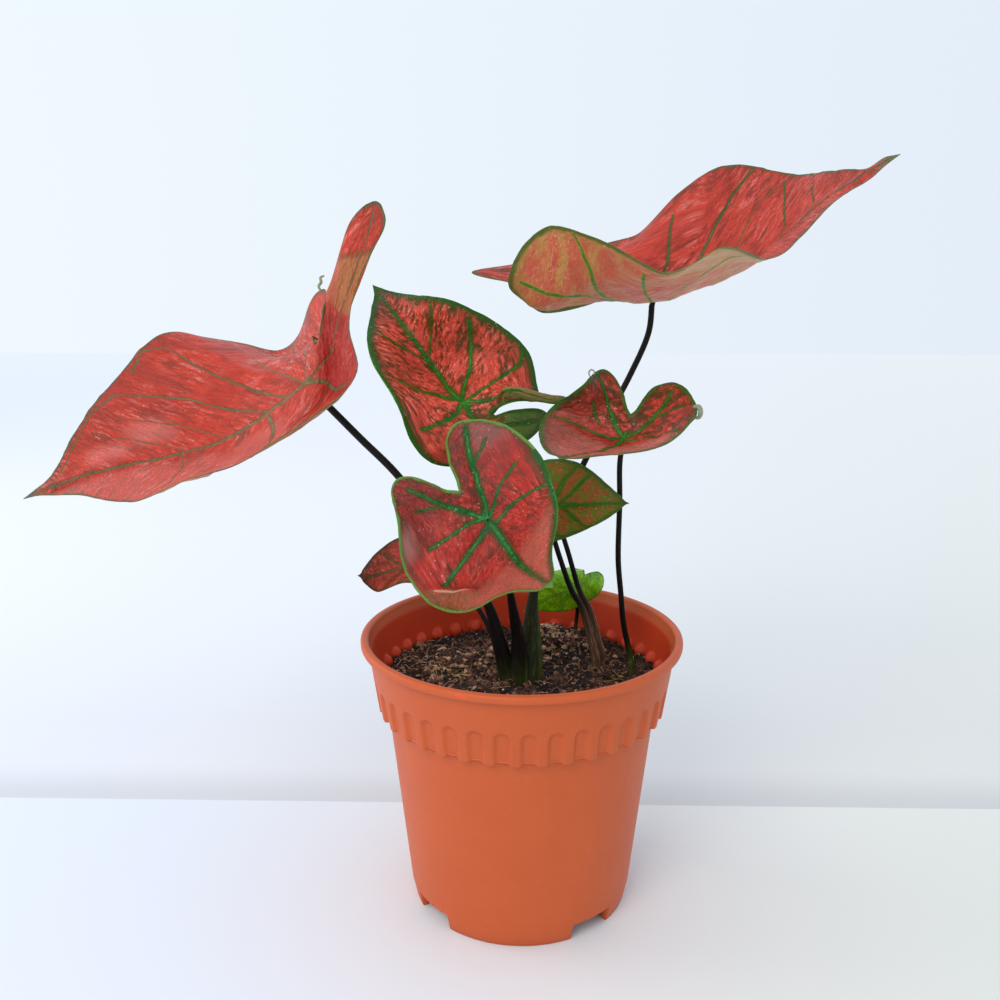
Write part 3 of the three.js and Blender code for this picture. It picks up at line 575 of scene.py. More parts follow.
def blade_sheet(name):
    """The middle sheet of a blade, and what is known at each of its points."""
    leaf, wave = LEAVES[name], LEAVES[name]["wave"]
    rings, spokes = leaf["fine"]
    length = leaf_length(leaf)
    turn, steps = np.arange(spokes) / spokes, np.arange(rings) / (rings - 1)
    flats, margin = blade_flats(name, turn, steps, length)
    faces = [(0, 1 + (s + 1) % spokes, 1 + s) for s in range(spokes)] + between_rings(rings, spokes, 1)
    rim = np.append(0, np.repeat(steps, spokes))  # 0 at the heart, 1 at the margin

    fade = np.append(0, np.repeat(((wave["rings"] - 1) * steps + 1) / wave["rings"], spokes)) ** WAVE_FADE
    ripple = np.append(0, np.tile(np.sin(2 * math.pi * wave["count"] * turn + wave["phase"]), rings))
    ripple += (math.sin(wave["phase"]) - ripple) * ease(flats[:, 1], *DRIP_REACH)
    veins = [(width, distance_to_path(flats, path) * length) for width, path in VEINS[name]]
    nearest = np.min([distance for _, distance in veins], axis=0)
    puff = (1 - np.exp(-(nearest / (PUFF_REACH * length)) ** 2)) * (1 - rim ** 6) - 0.5
    pockets = [noise.fractal(Vector((*place, length)), 0.8, 2, 3) for place in flats * length * POCKET_STEP]
    lifts = [wave["height"] * fade * ripple, PUFF * length * puff * ease(rim, 1, 0.6)]
    lifts.append(POCKETS * np.array(pockets) * ease(rim, 1, 0.85))
    for height, half_width, path in FOLDS.get(name, []):
        lifts.append(height * np.exp(-(distance_to_path(flats, path) * length / half_width) ** 2))

    points = plate_through(*pins_of(leaf))(flats)
    for lift in lifts:
        points += normals_of(points, faces) * lift[:, None]
    return {
        "points": points, "faces": faces, "normals": normals_of(points, faces), "spokes": spokes, "rim": rim,
        "flats": flats * length, "edge": distance_to_path(flats, np.vstack([margin, margin[:1]])) * length,
        "groove": np.max([GROOVE_DEPTH * w * np.exp(-(far / w) ** 2) for w, far in veins], axis=0),
        "ribs": np.max([RIB_HEIGHT * w * np.exp(-(far / (RIB_WIDTH * w)) ** 2) for w, far in veins], axis=0),
    }


# %% The two faces of a blade
HALF_THICKNESS, HALF_AT_MARGIN = 0.2, 0.11
FLATTER = 0.7  # how much of its relief a vein has lost at the margin


def build_blade(name, materials, slot):
    """An upper and an under face on either side of the sheet, and the narrow edge between them."""
    sheet = blade_sheet(name)
    points, normals, count = sheet["points"], sheet["normals"], len(sheet["points"])
    half = HALF_THICKNESS + (HALF_AT_MARGIN - HALF_THICKNESS) * sheet["rim"] ** 8
    fading = 1 - FLATTER * sheet["rim"]
    upper = points + normals * (half - sheet["groove"] * fading)[:, None]
    lower = points - normals * (half + sheet["ribs"] * fading)[:, None]
    faces = sheet["faces"] + [tuple(count + i for i in reversed(face)) for face in sheet["faces"]]
    first = count - sheet["spokes"]
    for s in range(sheet["spokes"]):
        here, after = first + s, first + (s + 1) % sheet["spokes"]
        faces.append((here, after, after + count, here + count))
    pattern = np.column_stack([np.tile(sheet["flats"], (2, 1)), np.zeros(2 * count)])
    piece = make_piece(
        f"leaf_{name}", np.vstack([upper, lower]), faces, materials, f"blade_{name}", slot,
        {"pattern": pattern, "edge": np.tile(sheet["edge"], 2)},
    )
    under = np.arange(len(faces)) >= len(sheet["faces"])
    piece.data.polygons.foreach_set("material_index", under.astype(np.int32))


# %% [markdown]
# ## Living leaf
# A caladium leaf is thin living tissue under a waxy cuticle, which gives a soft broad gloss. Plant
# wax has an IOR of about 1.45. Here it is 1.38, with a low specular level, because the wax has a
# bloom that scatters the light. The red is a pigment in the web, and green stays along the veins
# and the margin, where it fades into the red through brown. The web is a net of fine veins with
# cells about 2.4 mm wide, so the pattern below is measured in millimetres.
#
# The width of a vein is where most of the likeness lies. A picture could give it, but nodes that
# measure the distance to each stretch of vein stay sharp at any size and need no file.

# %% How far a point is from one stretch of a vein
def make_distance_group():
    group = bpy.data.node_groups.new("distance to a stretch of vein", "ShaderNodeTree")
    for socket in ("Place", "Start", "Along", "Share"):
        group.interface.new_socket(socket, in_out="INPUT", socket_type="NodeSocketVector")
    group.interface.new_socket("Distance", in_out="OUTPUT", socket_type="NodeSocketFloat")
    given = group.nodes.new("NodeGroupInput").outputs
    offset = add_node(group, "VectorMath", {0: given["Place"], 1: given["Start"]}, operation="SUBTRACT")
    share = add_node(group, "VectorMath", {0: offset, 1: given["Share"]}, operation="DOT_PRODUCT")
    part = add_node(group, "Clamp", {0: share})
    reached = add_node(group, "VectorMath", {0: given["Along"], "Scale": part}, operation="SCALE")
    gap = add_node(group, "VectorMath", {0: offset, 1: reached}, operation="SUBTRACT")
    length = add_node(group, "VectorMath", {0: gap}, operation="LENGTH")
    connect(group, group.nodes.new("NodeGroupOutput"), {0: length})
    return group


VEIN_DISTANCE = make_distance_group()


def add_vein_ratio(tree, place, name):
    """The distance to the nearest vein of a leaf, in widths of that vein."""
    length = leaf_length(LEAVES[name])
    nearest = None
    for width, path in VEINS[name]:
        for start, end in zip(path[:-1], path[1:]):
            start = Vector((*start, 0)) * length
            along = Vector((*end, 0)) * length - start
            distance = add_node(tree, "Group", node_tree=VEIN_DISTANCE)
            share = along / along.length_squared
            connect(tree, distance, {"Place": place, "Start": start, "Along": along, "Share": share})
            ratio = add_node(tree, "Math", {0: distance, 1: width}, operation="DIVIDE")
            if nearest:
                ratio = add_node(tree, "Math", {0: ratio, 1: nearest}, operation="MINIMUM")
            nearest = ratio
    return nearest


# %% [markdown]
# The leaves of one plant differ: the big old ones are rosy with olive veins, the younger ones are
# mottled with dark green and keep bright green veins, and the olive and the green one are nearly
# all green. So each leaf has a set of colours for its upper side. Most undersides share a duller tan
# set, as the pigment lies nearer the upper skin. web, pale, deep and fleck are the colours between
# the veins and net those of the finest veins. vein is a main vein, crest a painted highlight along
# its back and halo the band beside it. margin is the rim and border its width in mm. mottle is how
# strongly the flecks show, and grain is their scale per mm along the side veins and across them.

# %% The colours of each leaf
def colour_set(hues, mottle, border, along, across):
    layers = ("web", "pale", "deep", "fleck", "net", "vein", "crest", "halo", "margin")
    named = {layer: "#" + hue for layer, hue in zip(layers, hues.split())}
    return named | {"mottle": mottle, "border": border, "grain": (along, across)}


UPPER_COLOURS = {name: colour_set(*row) for name, row in {
    "left": ("C03826 DC8C84 A42A1C 74382A 8A3424 5A5A34 8C8058 803C2C 54563A", 0.45, 0.8, 0.07, 0.18),
    "high": ("BC3C2E D0766C 9C2A1E 642E20 802E22 34501C 5A7A34 6A3424 4A562C", 0.5, 1.0, 0.09, 0.2),
    "upright": ("D24838 EA8470 8E3A22 5C3818 74301A 1C5A0A 3E8E20 34420E 2A5412", 0.9, 3.0, 0.13, 0.2),
    "front": ("B02C24 CC5E50 84241E 5A3020 662A20 18521C 369042 343E16 588836", 0.65, 1.5, 0.13, 0.2),
    "cupped": ("BA382C C86A5C 7E2A20 4C3A1E 642C20 1C5C10 3C8A26 3A3E18 38601E", 0.8, 1.8, 0.12, 0.22),
    "olive": ("A8582A C4643E 84681E 64801A 6A6418 2E6C0E 4A8A1E 4C6A16 3A6816", 0.95, 2.4, 0.12, 0.2),
    "green": ("94D40E A4DC30 549610 407E0E 44840E 74AC36 8CC24C 5A981C 44800E", 0.2, 0.8, 0.1, 0.2),
    "low": ("CC5446 DE7E6E A84236 784632 86402E 5A6030 7A7A44 72402E 524428", 0.6, 1.2, 0.12, 0.22),
}.items()}
UNDER_TAN, UNDER_GREEN = (colour_set(*row) for row in (
    ("CA5C4A D69E6A CC985E BC8A4A B4643C 4A7A1C 6A9230 A48848 5A6A2C", 0.6, 2.4, 0.09, 0.24),
    ("7C8A4E 98A468 6A7E40 687444 647A3C 8A9A5C A0AE70 768A4C 5E7C3A", 0.3, 1.0, 0.1, 0.2),
))
UNDER_COLOURS = {name: UNDER_TAN for name in UPPER_COLOURS} | {"upright": UNDER_GREEN, "green": UNDER_GREEN}
print("sets of leaf colours:", len(UPPER_COLOURS) + 2)

# Patches of another colour: its colour, how strong it is, how soft its edge is in mm, and its sides.
# A side (a, b, c) keeps the part of the pattern where a * u + b * v is over c.
PATCHES = {
    ("left", "upper"): [
        ("#A86A40", 0.9, 0.5, [(-0.188, 1, -0.4034), (0, -1, 0.35), (-1, 0, 0.13)]),
        ("#B4624C", 0.8, 0.8, [(-0.188, 1, -0.4034), (0, -1, 0.35), (1, 0, -0.15)]),
        # A painted shadow: a thin darker line along the fold of the tongue.
        ("#7E4628", 0.6, 0.4, [(-0.188, 1, -0.409), (0.188, -1, 0.3994), (-1, 0, 0.08)]),
        ("#9A2624", 0.6, 4.0, [(0, 1, -0.35), (0, -1, 0.12), (-1, 0, 0.05)]),
        ("#CE8078", 0.25, 4.0, [(-1, 0, 0.05), (0, 1, 0.12)]),
        ("#E6A49C", 0.24, 4.0, [(1, 0, 0.04), (-1, 0, -0.1), (0, 1, 0.58), (0, -1, -0.72)]),
        ("#E6A49C", 0.22, 4.0, [(1, 0, 0.07), (-1, 0, -0.16), (0, 1, 0.42), (0, -1, -0.56)]),
        ("#A03428", 0.4, 6.0, [(1, 0, 0.2), (0, 1, 0.3)]),
    ],
    ("upright", "upper"): [
        ("#7A7A44", 0.85, 0.8, [(1, 0, 0.09), (0, -1, 0.2)]),
        ("#4E7A30", 0.9, 0.8, [(-1, 0, 0.09), (0, -1, 0.33)]),
    ],
    ("high", "under"): [("#C6A878", 0.6, 4.0, [(1, 0, 0.33), (0, 1, -0.04)])],
    ("cupped", "upper"): [("#C47A70", 0.5, 3.0, [(0, 1, 0.16)]), ("#6A3A2C", 0.4, 5.0, [(1, 0, 0.22)])],
    ("front", "upper"): [
        ("#C06A58", 0.5, 6.0, [(0, 1, 0.3)]),
        ("#6E3430", 0.45, 6.0, [(0, -1, 0.16)]),
        ("#7E5A34", 0.5, 1.2, [(1, 0.606, 0.46), (0, 1, 0.05), (0, -1, -0.33)]),
        ("#D8B890", 0.5, 0.45, [(1, 0.606, 0.452), (-1, -0.606, -0.463), (0, 1, 0.07), (0, -1, -0.25)]),
        # Painted sheen: a greyish white near the margin by one lobe, and over the top of the other lobe.
        ("#B09088", 0.4, 4.0, [(1, 0, 0.37), (0, 1, -0.26), (0, -1, 0.12)]),
        ("#94706A", 0.35, 5.0, [(-1, 0, 0.22), (0, -1, 0.28)]),
    ],
}


# %% [markdown]
# The streaks of colour run along the side veins, so the noise that makes them is stretched in that
# direction: the pattern is sheared until a side vein lies level, and scaled less along than across.
# Most masks below are one pattern between two limits. Where the first limit is the higher one, the
# mask is full where the pattern is low. The layers over the web are blotches, flecks and patches
# first, then the bands beside the veins and along the margin, and the veins themselves last.

# %% Drawing a leaf
LEAF_SKIN = {
    "IOR": 1.38, "Specular IOR Level": 0.3, "Subsurface Weight": 0.25,
    "Subsurface Radius": (1, 0.35, 0.15), "Subsurface Scale": 0.6 * MM,
}
VEIN_TAPER = 0.22  # how much of its width a vein has lost a leaf's length away from the heart
RIM_NOISE = 2.4  # mm that the noise can move the rim, and half of it is its middle
# The small pale specks are painted glints of fine droplets of water.
DROPLET_GLINT_HUE = "#E6D2C8"  # of small pale specks in the pale parts


def patch_layers(tree, place, patches, length):
    """The mask and the colour of each patch: its strength, times one soft edge for each side."""
    layers = []
    for hue, strength, soft, sides in patches:
        mask = strength
        for a, b, limit in sides:
            reach = add_node(tree, "VectorMath", {0: place, 1: (a, b, 0)}, operation="DOT_PRODUCT")
            part = add_node(tree, "MapRange", {
                "Value": reach, "From Min": limit * length - soft, "From Max": limit * length + soft,
            }, interpolation_type="SMOOTHSTEP")
            mask = add_node(tree, "Math", {0: part, 1: mask}, operation="MULTIPLY")
        layers.append((mask, hue))
    return layers


def leaf_material(name, side, colours):
    material, tree, shader = new_material(f"waxy living leaf, {name}, {side} side")
    length, mottle, border = leaf_length(LEAVES[name]), colours["mottle"], colours["border"]
    place = add_node(tree, "Attribute", attribute_name="pattern").outputs["Vector"]
    edge = add_node(tree, "Attribute", attribute_name="edge").outputs["Fac"]
    split = add_node(tree, "SeparateXYZ", {0: place})
    u, v = split.outputs["X"], split.outputs["Y"]

    # A side vein leans towards the tip above the heart, and back towards the lobes below it.
    across = add_node(tree, "Math", {0: u}, operation="ABSOLUTE")
    lean = add_node(tree, "MapRange", {
        "Value": v, "From Min": -25, "From Max": 12, "To Min": 0.4, "To Max": -0.6,
    })
    level = add_node(tree, "Math", {0: across, 1: lean, 2: v}, operation="MULTIPLY_ADD")
    streak = add_node(tree, "CombineXYZ", {"X": u, "Y": level})
    stretch = add_node(tree, "VectorMath", {0: streak, 1: (*colours["grain"], 1)}, operation="MULTIPLY")

    wide = add_node(tree, "TexNoise", {"Vector": place, "Scale": 0.055, "Detail": 3, "Roughness": 0.6})
    blotch = add_node(tree, "TexNoise", {
        "Vector": stretch, "Scale": 1, "Detail": 5, "Roughness": 0.62, "Distortion": 0.4,
    })
    flecks = add_node(tree, "TexNoise", {
        "Vector": stretch, "Scale": 2.6, "Detail": 4, "Roughness": 0.65, "Distortion": 0.3,
    })
    net = add_node(tree, "TexVoronoi", {"Vector": streak, "Scale": 0.42}, feature="DISTANCE_TO_EDGE")
    specks = add_node(tree, "TexVoronoi", {"Vector": place, "Scale": 0.4})

    # Dark flecks lie where both noises are low, and they are more near the margin.
    together = add_node(tree, "Math", {0: blotch, 1: flecks}, operation="MULTIPLY")
    inland = add_node(tree, "MapRange", {
        "Value": edge, "From Max": 16, "To Min": -0.03, "To Max": 0.012,
    })
    together = add_node(tree, "Math", {0: together, 1: inland}, operation="ADD")

    # The veins: their distance, made ragged by the noises, and thinner away from the heart.
    ratio = add_vein_ratio(tree, place, name)
    ragged = add_node(tree, "Math", {0: flecks, 1: 0.6, 2: -0.55}, operation="MULTIPLY_ADD")
    ratio = add_node(tree, "Math", {0: ratio, 1: ragged}, operation="ADD")
    ratio = add_node(tree, "Math", {0: blotch, 1: 0.5, 2: ratio}, operation="MULTIPLY_ADD")
    away = add_node(tree, "VectorMath", {0: place}, operation="LENGTH")
    ratio = add_node(tree, "Math", {0: away, 1: VEIN_TAPER / length, 2: ratio}, operation="MULTIPLY_ADD")
    rough_edge = add_node(tree, "Math", {0: blotch, 1: RIM_NOISE, 2: edge}, operation="MULTIPLY_ADD")

    masks = {  # a pattern, two limits of it, and the mask's value at each
        "shaded": (wide, 0.5, 0.36, 0, 0.55),
        "deep": (blotch, 0.5, 0.32, 0, 1),
        "pale": (wide, 0.44, 0.62, 0.3 * mottle ** 2, 0.3 + 0.6 * mottle),
        "pale streaks": (flecks, 0.48, 0.64, 0, 1),
        "net": (net, 0.13, 0, 0, 0.42),
        "dark": (together, 0.26, 0.19, 0, mottle),
        "rim halo": (rough_edge, RIM_NOISE / 2 + 2.6 * border, RIM_NOISE / 2, 0, 0.7),
        "rim": (rough_edge, RIM_NOISE / 2 + border, RIM_NOISE / 2 + 0.4 * border, 0, 1),
        "halo": (ratio, 1.1, 0.4, 0, 0.75),
        "core": (ratio, 0.5, 0.32, 0, 1),
        "back": (ratio, 0.3, 0.1, 0, 1),
        "tip": (v, 0.88 * length, 0.97 * length, 0, 0.9),
        "specks": (specks.outputs["Distance"], 0.14, 0.07, 0, 0.7),
        "cells": (net, 0, 0.3, 0, 1),
    }
    for key, (pattern, start, end, at_start, at_end) in masks.items():
        masks[key] = add_node(tree, "MapRange", {
            "Value": pattern, "From Min": start, "From Max": end, "To Min": at_start, "To Max": at_end,
        }, interpolation_type="SMOOTHSTEP")
    # light and crest: a painted highlight along the back of a vein, in patches where the blotches are high.
    light = add_node(tree, "MapRange", {"Value": blotch, "From Min": 0.42, "From Max": 0.62})
    paled = add_node(tree, "Math", {0: masks["pale"], 1: masks["pale streaks"]}, operation="MULTIPLY")
    crest = add_node(tree, "Math", {0: masks["back"], 1: light}, operation="MULTIPLY")
    # Painted glints of fine droplets, in the pale parts.
    droplet_glint = add_node(tree, "Math", {0: masks["specks"], 1: masks["pale"]}, operation="MULTIPLY")

    layers = [(masks["shaded"], colours["deep"]), (masks["deep"], colours["deep"]), (paled, colours["pale"])]
    layers += [(masks["net"], colours["net"]), (masks["dark"], colours["fleck"])]
    layers += patch_layers(tree, place, PATCHES.get((name, side), []), length)
    layers += [(masks["rim halo"], colours["halo"]), (masks["halo"], colours["halo"])]
    layers += [(masks["rim"], colours["margin"]), (masks["core"], colours["vein"])]
    layers += [(crest, colours["crest"]), (masks["tip"], colours["margin"]), (droplet_glint, DROPLET_GLINT_HUE)]
    relief = add_node(tree, "Math", {0: flecks, 1: 0.8, 2: masks["cells"]}, operation="MULTIPLY_ADD")
    layers = [colours["web"], *layers]
    finish_surface(tree, shader, layers, (blotch, 0.3, 0.55), (relief, 0.7, 0.3), LEAF_SKIN)
    return material


# The name of the finish given for each leaf, where it isn't the red one. Nothing reads it.
SLOTS = {"olive": "olive_leaf", "green": "green_leaf"}
for name in LEAVES:
    build_blade(name, [
        leaf_material(name, "upper", UPPER_COLOURS[name]), leaf_material(name, "under", UNDER_COLOURS[name]),
    ], SLOTS.get(name, "red_leaf"))

# %% [markdown]
# ## The stalks
# Each stalk is a tube swept along its course from the tuber to the heart of its leaf, swollen
# towards the base, with a shallow groove along its upper side. It is nearly black with purple
# pigment, streaked along its length. Where it leaves the soil the skin is bare of purple on one
# side, and shows green, or the pale tan of a sheath that is drying on the two youngest. Each stalk
# keeps its place round and along itself, in millimetres, so that the streaks can follow it.

# %% Courses and thicknesses of the stalks
# base and top are radii, sheath is what the sheath adds at the soil, and course leads from the tuber
# up to just under the blade. bare is how far up the skin lacks purple, and wash how much of that
# reaches round to the far side.
STALKS = {
    "left": dict(base=2.8, top=1.6, sheath=2.2, course=[
        (-6, -3, 80), (-6, -5, 109), (-10, -7, 128), (-16, -9, 149), (-36, -14, 181), (-54, -15, 208),
        (-71, -16, 226),
    ]),
    "upright": dict(base=2.1, top=1.1, bare=52, wash=0.7, sheath=0.8, course=[
        (25, 9, 80), (35, 12, 100), (39, 14, 112), (37, 14, 122), (33, 13, 137), (28, 11, 147),
        (21, 9, 170), (12, 11, 196), (-3, 14, 219), (-16, 10, 232),
    ]),
    "high": dict(base=3.4, top=1.4, sheath=4.0, bare=60, course=[
        (4, 1, 80), (4, -3, 109), (5, 1, 128), (6, 6, 149), (16, 20, 177), (31, 25, 210), (42, 23, 233),
        (50, 20, 250), (57, 16, 269),
    ]),
    "cupped": dict(base=2.2, top=1.2, bare=20, wash=0.8, course=[
        (30, 0, 76), (47, 1, 92), (53, 4, 109), (51, 3, 121), (48, 1, 135), (46, -2, 151), (44, -6, 168),
        (43, -15, 198), (42, -21, 216),
    ]),
    "front": dict(base=3.3, top=1.5, sheath=2.6, course=[
        (-1, -5, 80), (-1, -8, 109), (-1, -9, 130), (-3, -12, 142), (-5, -18, 156), (-8, -30, 175),
        (-12, -41, 189),
    ]),
    "olive": dict(base=2.1, top=1.2, bare=44, wash=0.7, sheath=0.7, course=[
        (22, 3, 80), (33, 6, 100), (36, 7, 112), (34, 7, 122), (28, 6, 142), (24, 5, 149), (18, 1, 166),
        (14, -3, 180),
    ]),
    "green": dict(base=1.6, top=1, course=[
        (14, 18, 78), (22, 36, 96), (27, 49, 107), (29, 51, 120), (29, 46, 133),
    ]),
    "low": dict(base=1.7, top=1.1, course=[
        (-9, 4, 80), (-10, 4, 109), (-15, 9, 128), (-27, 18, 144), (-40, 22, 152),
    ]),
}
STALK_SIDES, STALK_STEP = 24, 2.2  # points on each ring, and from ring to ring
COURSE_SAMPLES = 600
TAPER = 1.25  # how much thicker a stalk is low down than at the top, before the flare
FLARE_REACH, FLARE_SHAPE = 0.35, 1.5  # the part of its length that swells towards the base, and how
GROOVE, GROOVE_HALF = 0.1, 0.5  # in parts of the radius, and half its width in radians
RIDGES, RIDGE, RIDGE_TWIST = 3, 0.025, 0.05  # low ridges in parts of the radius, and their turn per ring
SOIL_LEVEL = 108.5
SHEATH_TOP = 162  # height where the sheath round the foot of a stalk has run out
BARE, WASH = 16, 0.3  # for the stalks that give none of their own
TUCK, TUCK_REACH = 0.9, 14  # how far under a blade the end of its stalk stays, and how near the heart
print("stalks:", len(STALKS))


# %% Sweeping a stalk
def even_course(name):
    """Points a fixed step apart along a stalk, from the tuber to the heart of its leaf."""
    points = STALKS[name]["course"] + [LEAVES[name]["middle"]["heart"]]
    dense = smooth_curve(points, np.linspace(0, 1, COURSE_SAMPLES))
    run = np.append(0, np.cumsum(np.linalg.norm(np.diff(dense, axis=0), axis=1)))
    stops = np.linspace(0, run[-1], round(run[-1] / STALK_STEP))
    return np.column_stack([np.interp(stops, run, dense[:, axis]) for axis in range(3)]), stops


def under_blade(name, rings):
    """Moves what would poke through the blade back to the underside of the blade at its heart."""
    pins = plate_through(*pins_of(LEAVES[name]))
    heart, ahead, aside = pins(np.array([(0, 0), (0, 0.02), (0.02, 0)], float))
    up = np.cross(aside - heart, ahead - heart)
    up /= np.linalg.norm(up)
    if (rings[len(rings) // 2].mean(axis=0) - heart) @ up > 0:
        up = -up
    over = (rings - heart) @ up + TUCK
    near = np.linalg.norm(rings - heart, axis=-1) < TUCK_REACH
    return rings - np.where(near & (over > 0), over, 0)[..., None] * up


def build_stalk(name, material):
    stalk = STALKS[name]
    course, stops = even_course(name)
    along = stops / stops[-1]
    slim = stalk["top"] * (TAPER + (1 - TAPER) * along)
    flare = np.clip(1 - along / FLARE_REACH, 0, None) ** FLARE_SHAPE
    radius = slim + (stalk["base"] - slim) * flare
    radius += stalk.get("sheath", 0) * ease(course[:, 2], SHEATH_TOP, SOIL_LEVEL)
    ways = ways_along(course)
    side = np.cross(ways[0], (0, 1, 0))
    turn = turns(STALK_SIDES)
    rings = []
    for place, way, size in zip(course, ways, radius):
        side = side - (side @ way) * way
        side /= np.linalg.norm(side)
        back = np.cross(way, side)
        reach = size * (1 - GROOVE * np.exp(-((turn - math.pi) / GROOVE_HALF) ** 2))
        reach = reach * (1 + RIDGE * np.sin(RIDGES * turn + RIDGE_TWIST * len(rings)))
        rings.append(place + (np.cos(turn) * reach)[:, None] * side + (np.sin(turn) * reach)[:, None] * back)
    rings = under_blade(name, np.array(rings))
    points = np.vstack([rings.reshape(-1, 3), course[:1], rings[-1].mean(axis=0)[None]])
    faces = between_rings(len(rings), STALK_SIDES)
    top = (len(rings) - 1) * STALK_SIDES
    for s in range(STALK_SIDES):
        after = (s + 1) % STALK_SIDES
        faces += [(len(points) - 2, after, s), (len(points) - 1, top + s, top + after)]
    off = (rings - course[:, None]).reshape(-1, 3)
    above = np.repeat(stops - np.interp(SOIL_LEVEL, course[:, 2], stops), STALK_SIDES)
    bare = stalk.get("bare", BARE)
    lit = ease(off[:, 0] / np.repeat(radius, STALK_SIDES), 0.35, 0.85)
    green = ease(above, bare, 0.2 * bare) * np.maximum(lit, stalk.get("wash", WASH))
    make_piece(f"stalk_{name}", points, faces, [material], f"petiole_{name}", "dark_petiole", {
        "green": np.append(green, [0, 0]),
        "pattern": np.vstack([np.column_stack([off[:, 0], above, off[:, 1]]), np.zeros((2, 3))]),
    })


# %% Waxy purple-black skin of a stalk
def stalk_material(name, foot):
    """The skin has a faint bloom of wax, so its IOR is low and its gloss weak. foot is the darker
    and the lighter colour where it is bare of purple, low down."""
    material, tree, shader = new_material(name)
    place = add_node(tree, "Attribute", attribute_name="pattern").outputs["Vector"]
    share = add_node(tree, "Attribute", attribute_name="green").outputs["Fac"]
    drawn = add_node(tree, "VectorMath", {0: place, 1: (1.6, 0.09, 1.6)}, operation="MULTIPLY")
    streaks = add_node(tree, "TexNoise", {"Vector": drawn, "Scale": 1, "Detail": 4, "Roughness": 0.6})
    patches = add_node(tree, "TexNoise", {"Vector": place, "Scale": 0.12, "Detail": 3})
    light = add_node(tree, "MapRange", {
        "Value": streaks, "From Min": 0.5, "From Max": 0.72,
    }, interpolation_type="SMOOTHSTEP")
    base = add_node(tree, "Math", {0: patches, 1: 2}, operation="MULTIPLY", use_clamp=True)
    base = add_node(tree, "Math", {0: base, 1: share}, operation="MULTIPLY")
    bare = add_node(tree, "Mix", {
        0: light, MIX_A: linear(foot[0]), MIX_B: linear(foot[1]),
    }, data_type="RGBA")
    skin = ["#0E0B0A", (light, "#2C1C1E"), (base, bare)]
    bloom = {"IOR": 1.35, "Specular IOR Level": 0.3}
    finish_surface(tree, shader, skin, (streaks, 0.45, 0.7), (streaks, 0.4, 0.2), bloom)
    return material


GREEN_STALK = stalk_material("waxy purple-black skin, green at the foot", ("#40561A", "#7E8248"))
TAN_STALK = stalk_material("waxy purple-black skin in a drying tan sheath", ("#74583E", "#D2B298"))
for name in STALKS:
    build_stalk(name, TAN_STALK if name in ("upright", "olive") else GREEN_STALK)

# %% [markdown]
# Some margins end in a dried thread. As a leaf unrolls, the last of its margin sometimes dries in
# the roll and stays on as a small pale curl. Each is a thread swept along a few points, fullest in
# its middle and flatter than it is wide.

# %% Dried curls on two leaves
CURLS = [  # the leaf, the curl's number on it, its thickness and its course
    ("left", 0, 0.7, [
        (-93.6, 27.6, 286.8), (-94.6, 27.6, 289), (-93.4, 27.6, 291), (-93.6, 27.6, 293),
        (-91.8, 27.6, 293.8),
    ]),
    ("cupped", 0, 0.35, [
        (28.9, -15.6, 252), (28.2, -15.6, 254), (29.2, -15.6, 255.3), (30.5, -15.6, 254.5),
        (30.3, -15.6, 253),
    ]),
    ("cupped", 1, 1.1, [
        (71.2, -27.5, 241), (73.2, -28, 241.3), (74.2, -28, 239.2), (73.6, -28.3, 237), (71.8, -28.6, 236.6),
    ]),
]
CURL_RINGS, CURL_SIDES, CURL_FLAT = 28, 10, 0.6  # the last is its depth in parts of its width


def build_curl(leaf, number, thickness, course, material):
    dense = smooth_curve(course, np.linspace(0, 1, CURL_RINGS))
    side = np.cross(ways_along(dense), (0, 1, 0))
    size = thickness * (0.35 + 0.65 * np.sin(math.pi * np.linspace(0.15, 0.92, CURL_RINGS)))
    points = [
        place + (math.cos(a) * s) * out + np.array((0, math.sin(a) * s * CURL_FLAT, 0))
        for place, out, s in zip(dense, side, size) for a in turns(CURL_SIDES)
    ]
    end = range(CURL_SIDES)
    faces = between_rings(CURL_RINGS, CURL_SIDES)
    faces += [tuple(reversed(end)), tuple(len(points) - CURL_SIDES + s for s in end)]
    make_piece(f"curl_{leaf}_{number}", points, faces, [material], f"blade_{leaf}", "red_leaf")


def curl_material():
    material, tree, shader = new_material("dried leaf margin, pale and papery")
    bands = add_node(tree, "TexNoise", {"Vector": add_millimetres(tree), "Scale": 0.9, "Detail": 3})
    finish_surface(tree, shader, ["#5A6248", (bands, "#AEB298")], (bands, 0.6, 0.9), (bands, 0.5, 0.2))
    return material


DRY_MARGIN = curl_material()
for curl in CURLS:
    build_curl(*curl, DRY_MARGIN)

# %% [markdown]
# ## The pot
# A nursery pot is injection moulded from polypropylene in a two part mould. The lip is rolled to a
# full round so that it doesn't cut the hand. Under it the wall is thick, with round-topped recesses
# pressed in from outside. Each shows inside as a smooth swelling, which keeps the wall even and
# stiffens it. The ring it stands on is cut by four notches that let water out.
#
# The whole wall is one profile turned round the axis. What isn't round is added as a change of
# radius or height at each point: the recesses, the swellings, the scalloped edge and the notches.

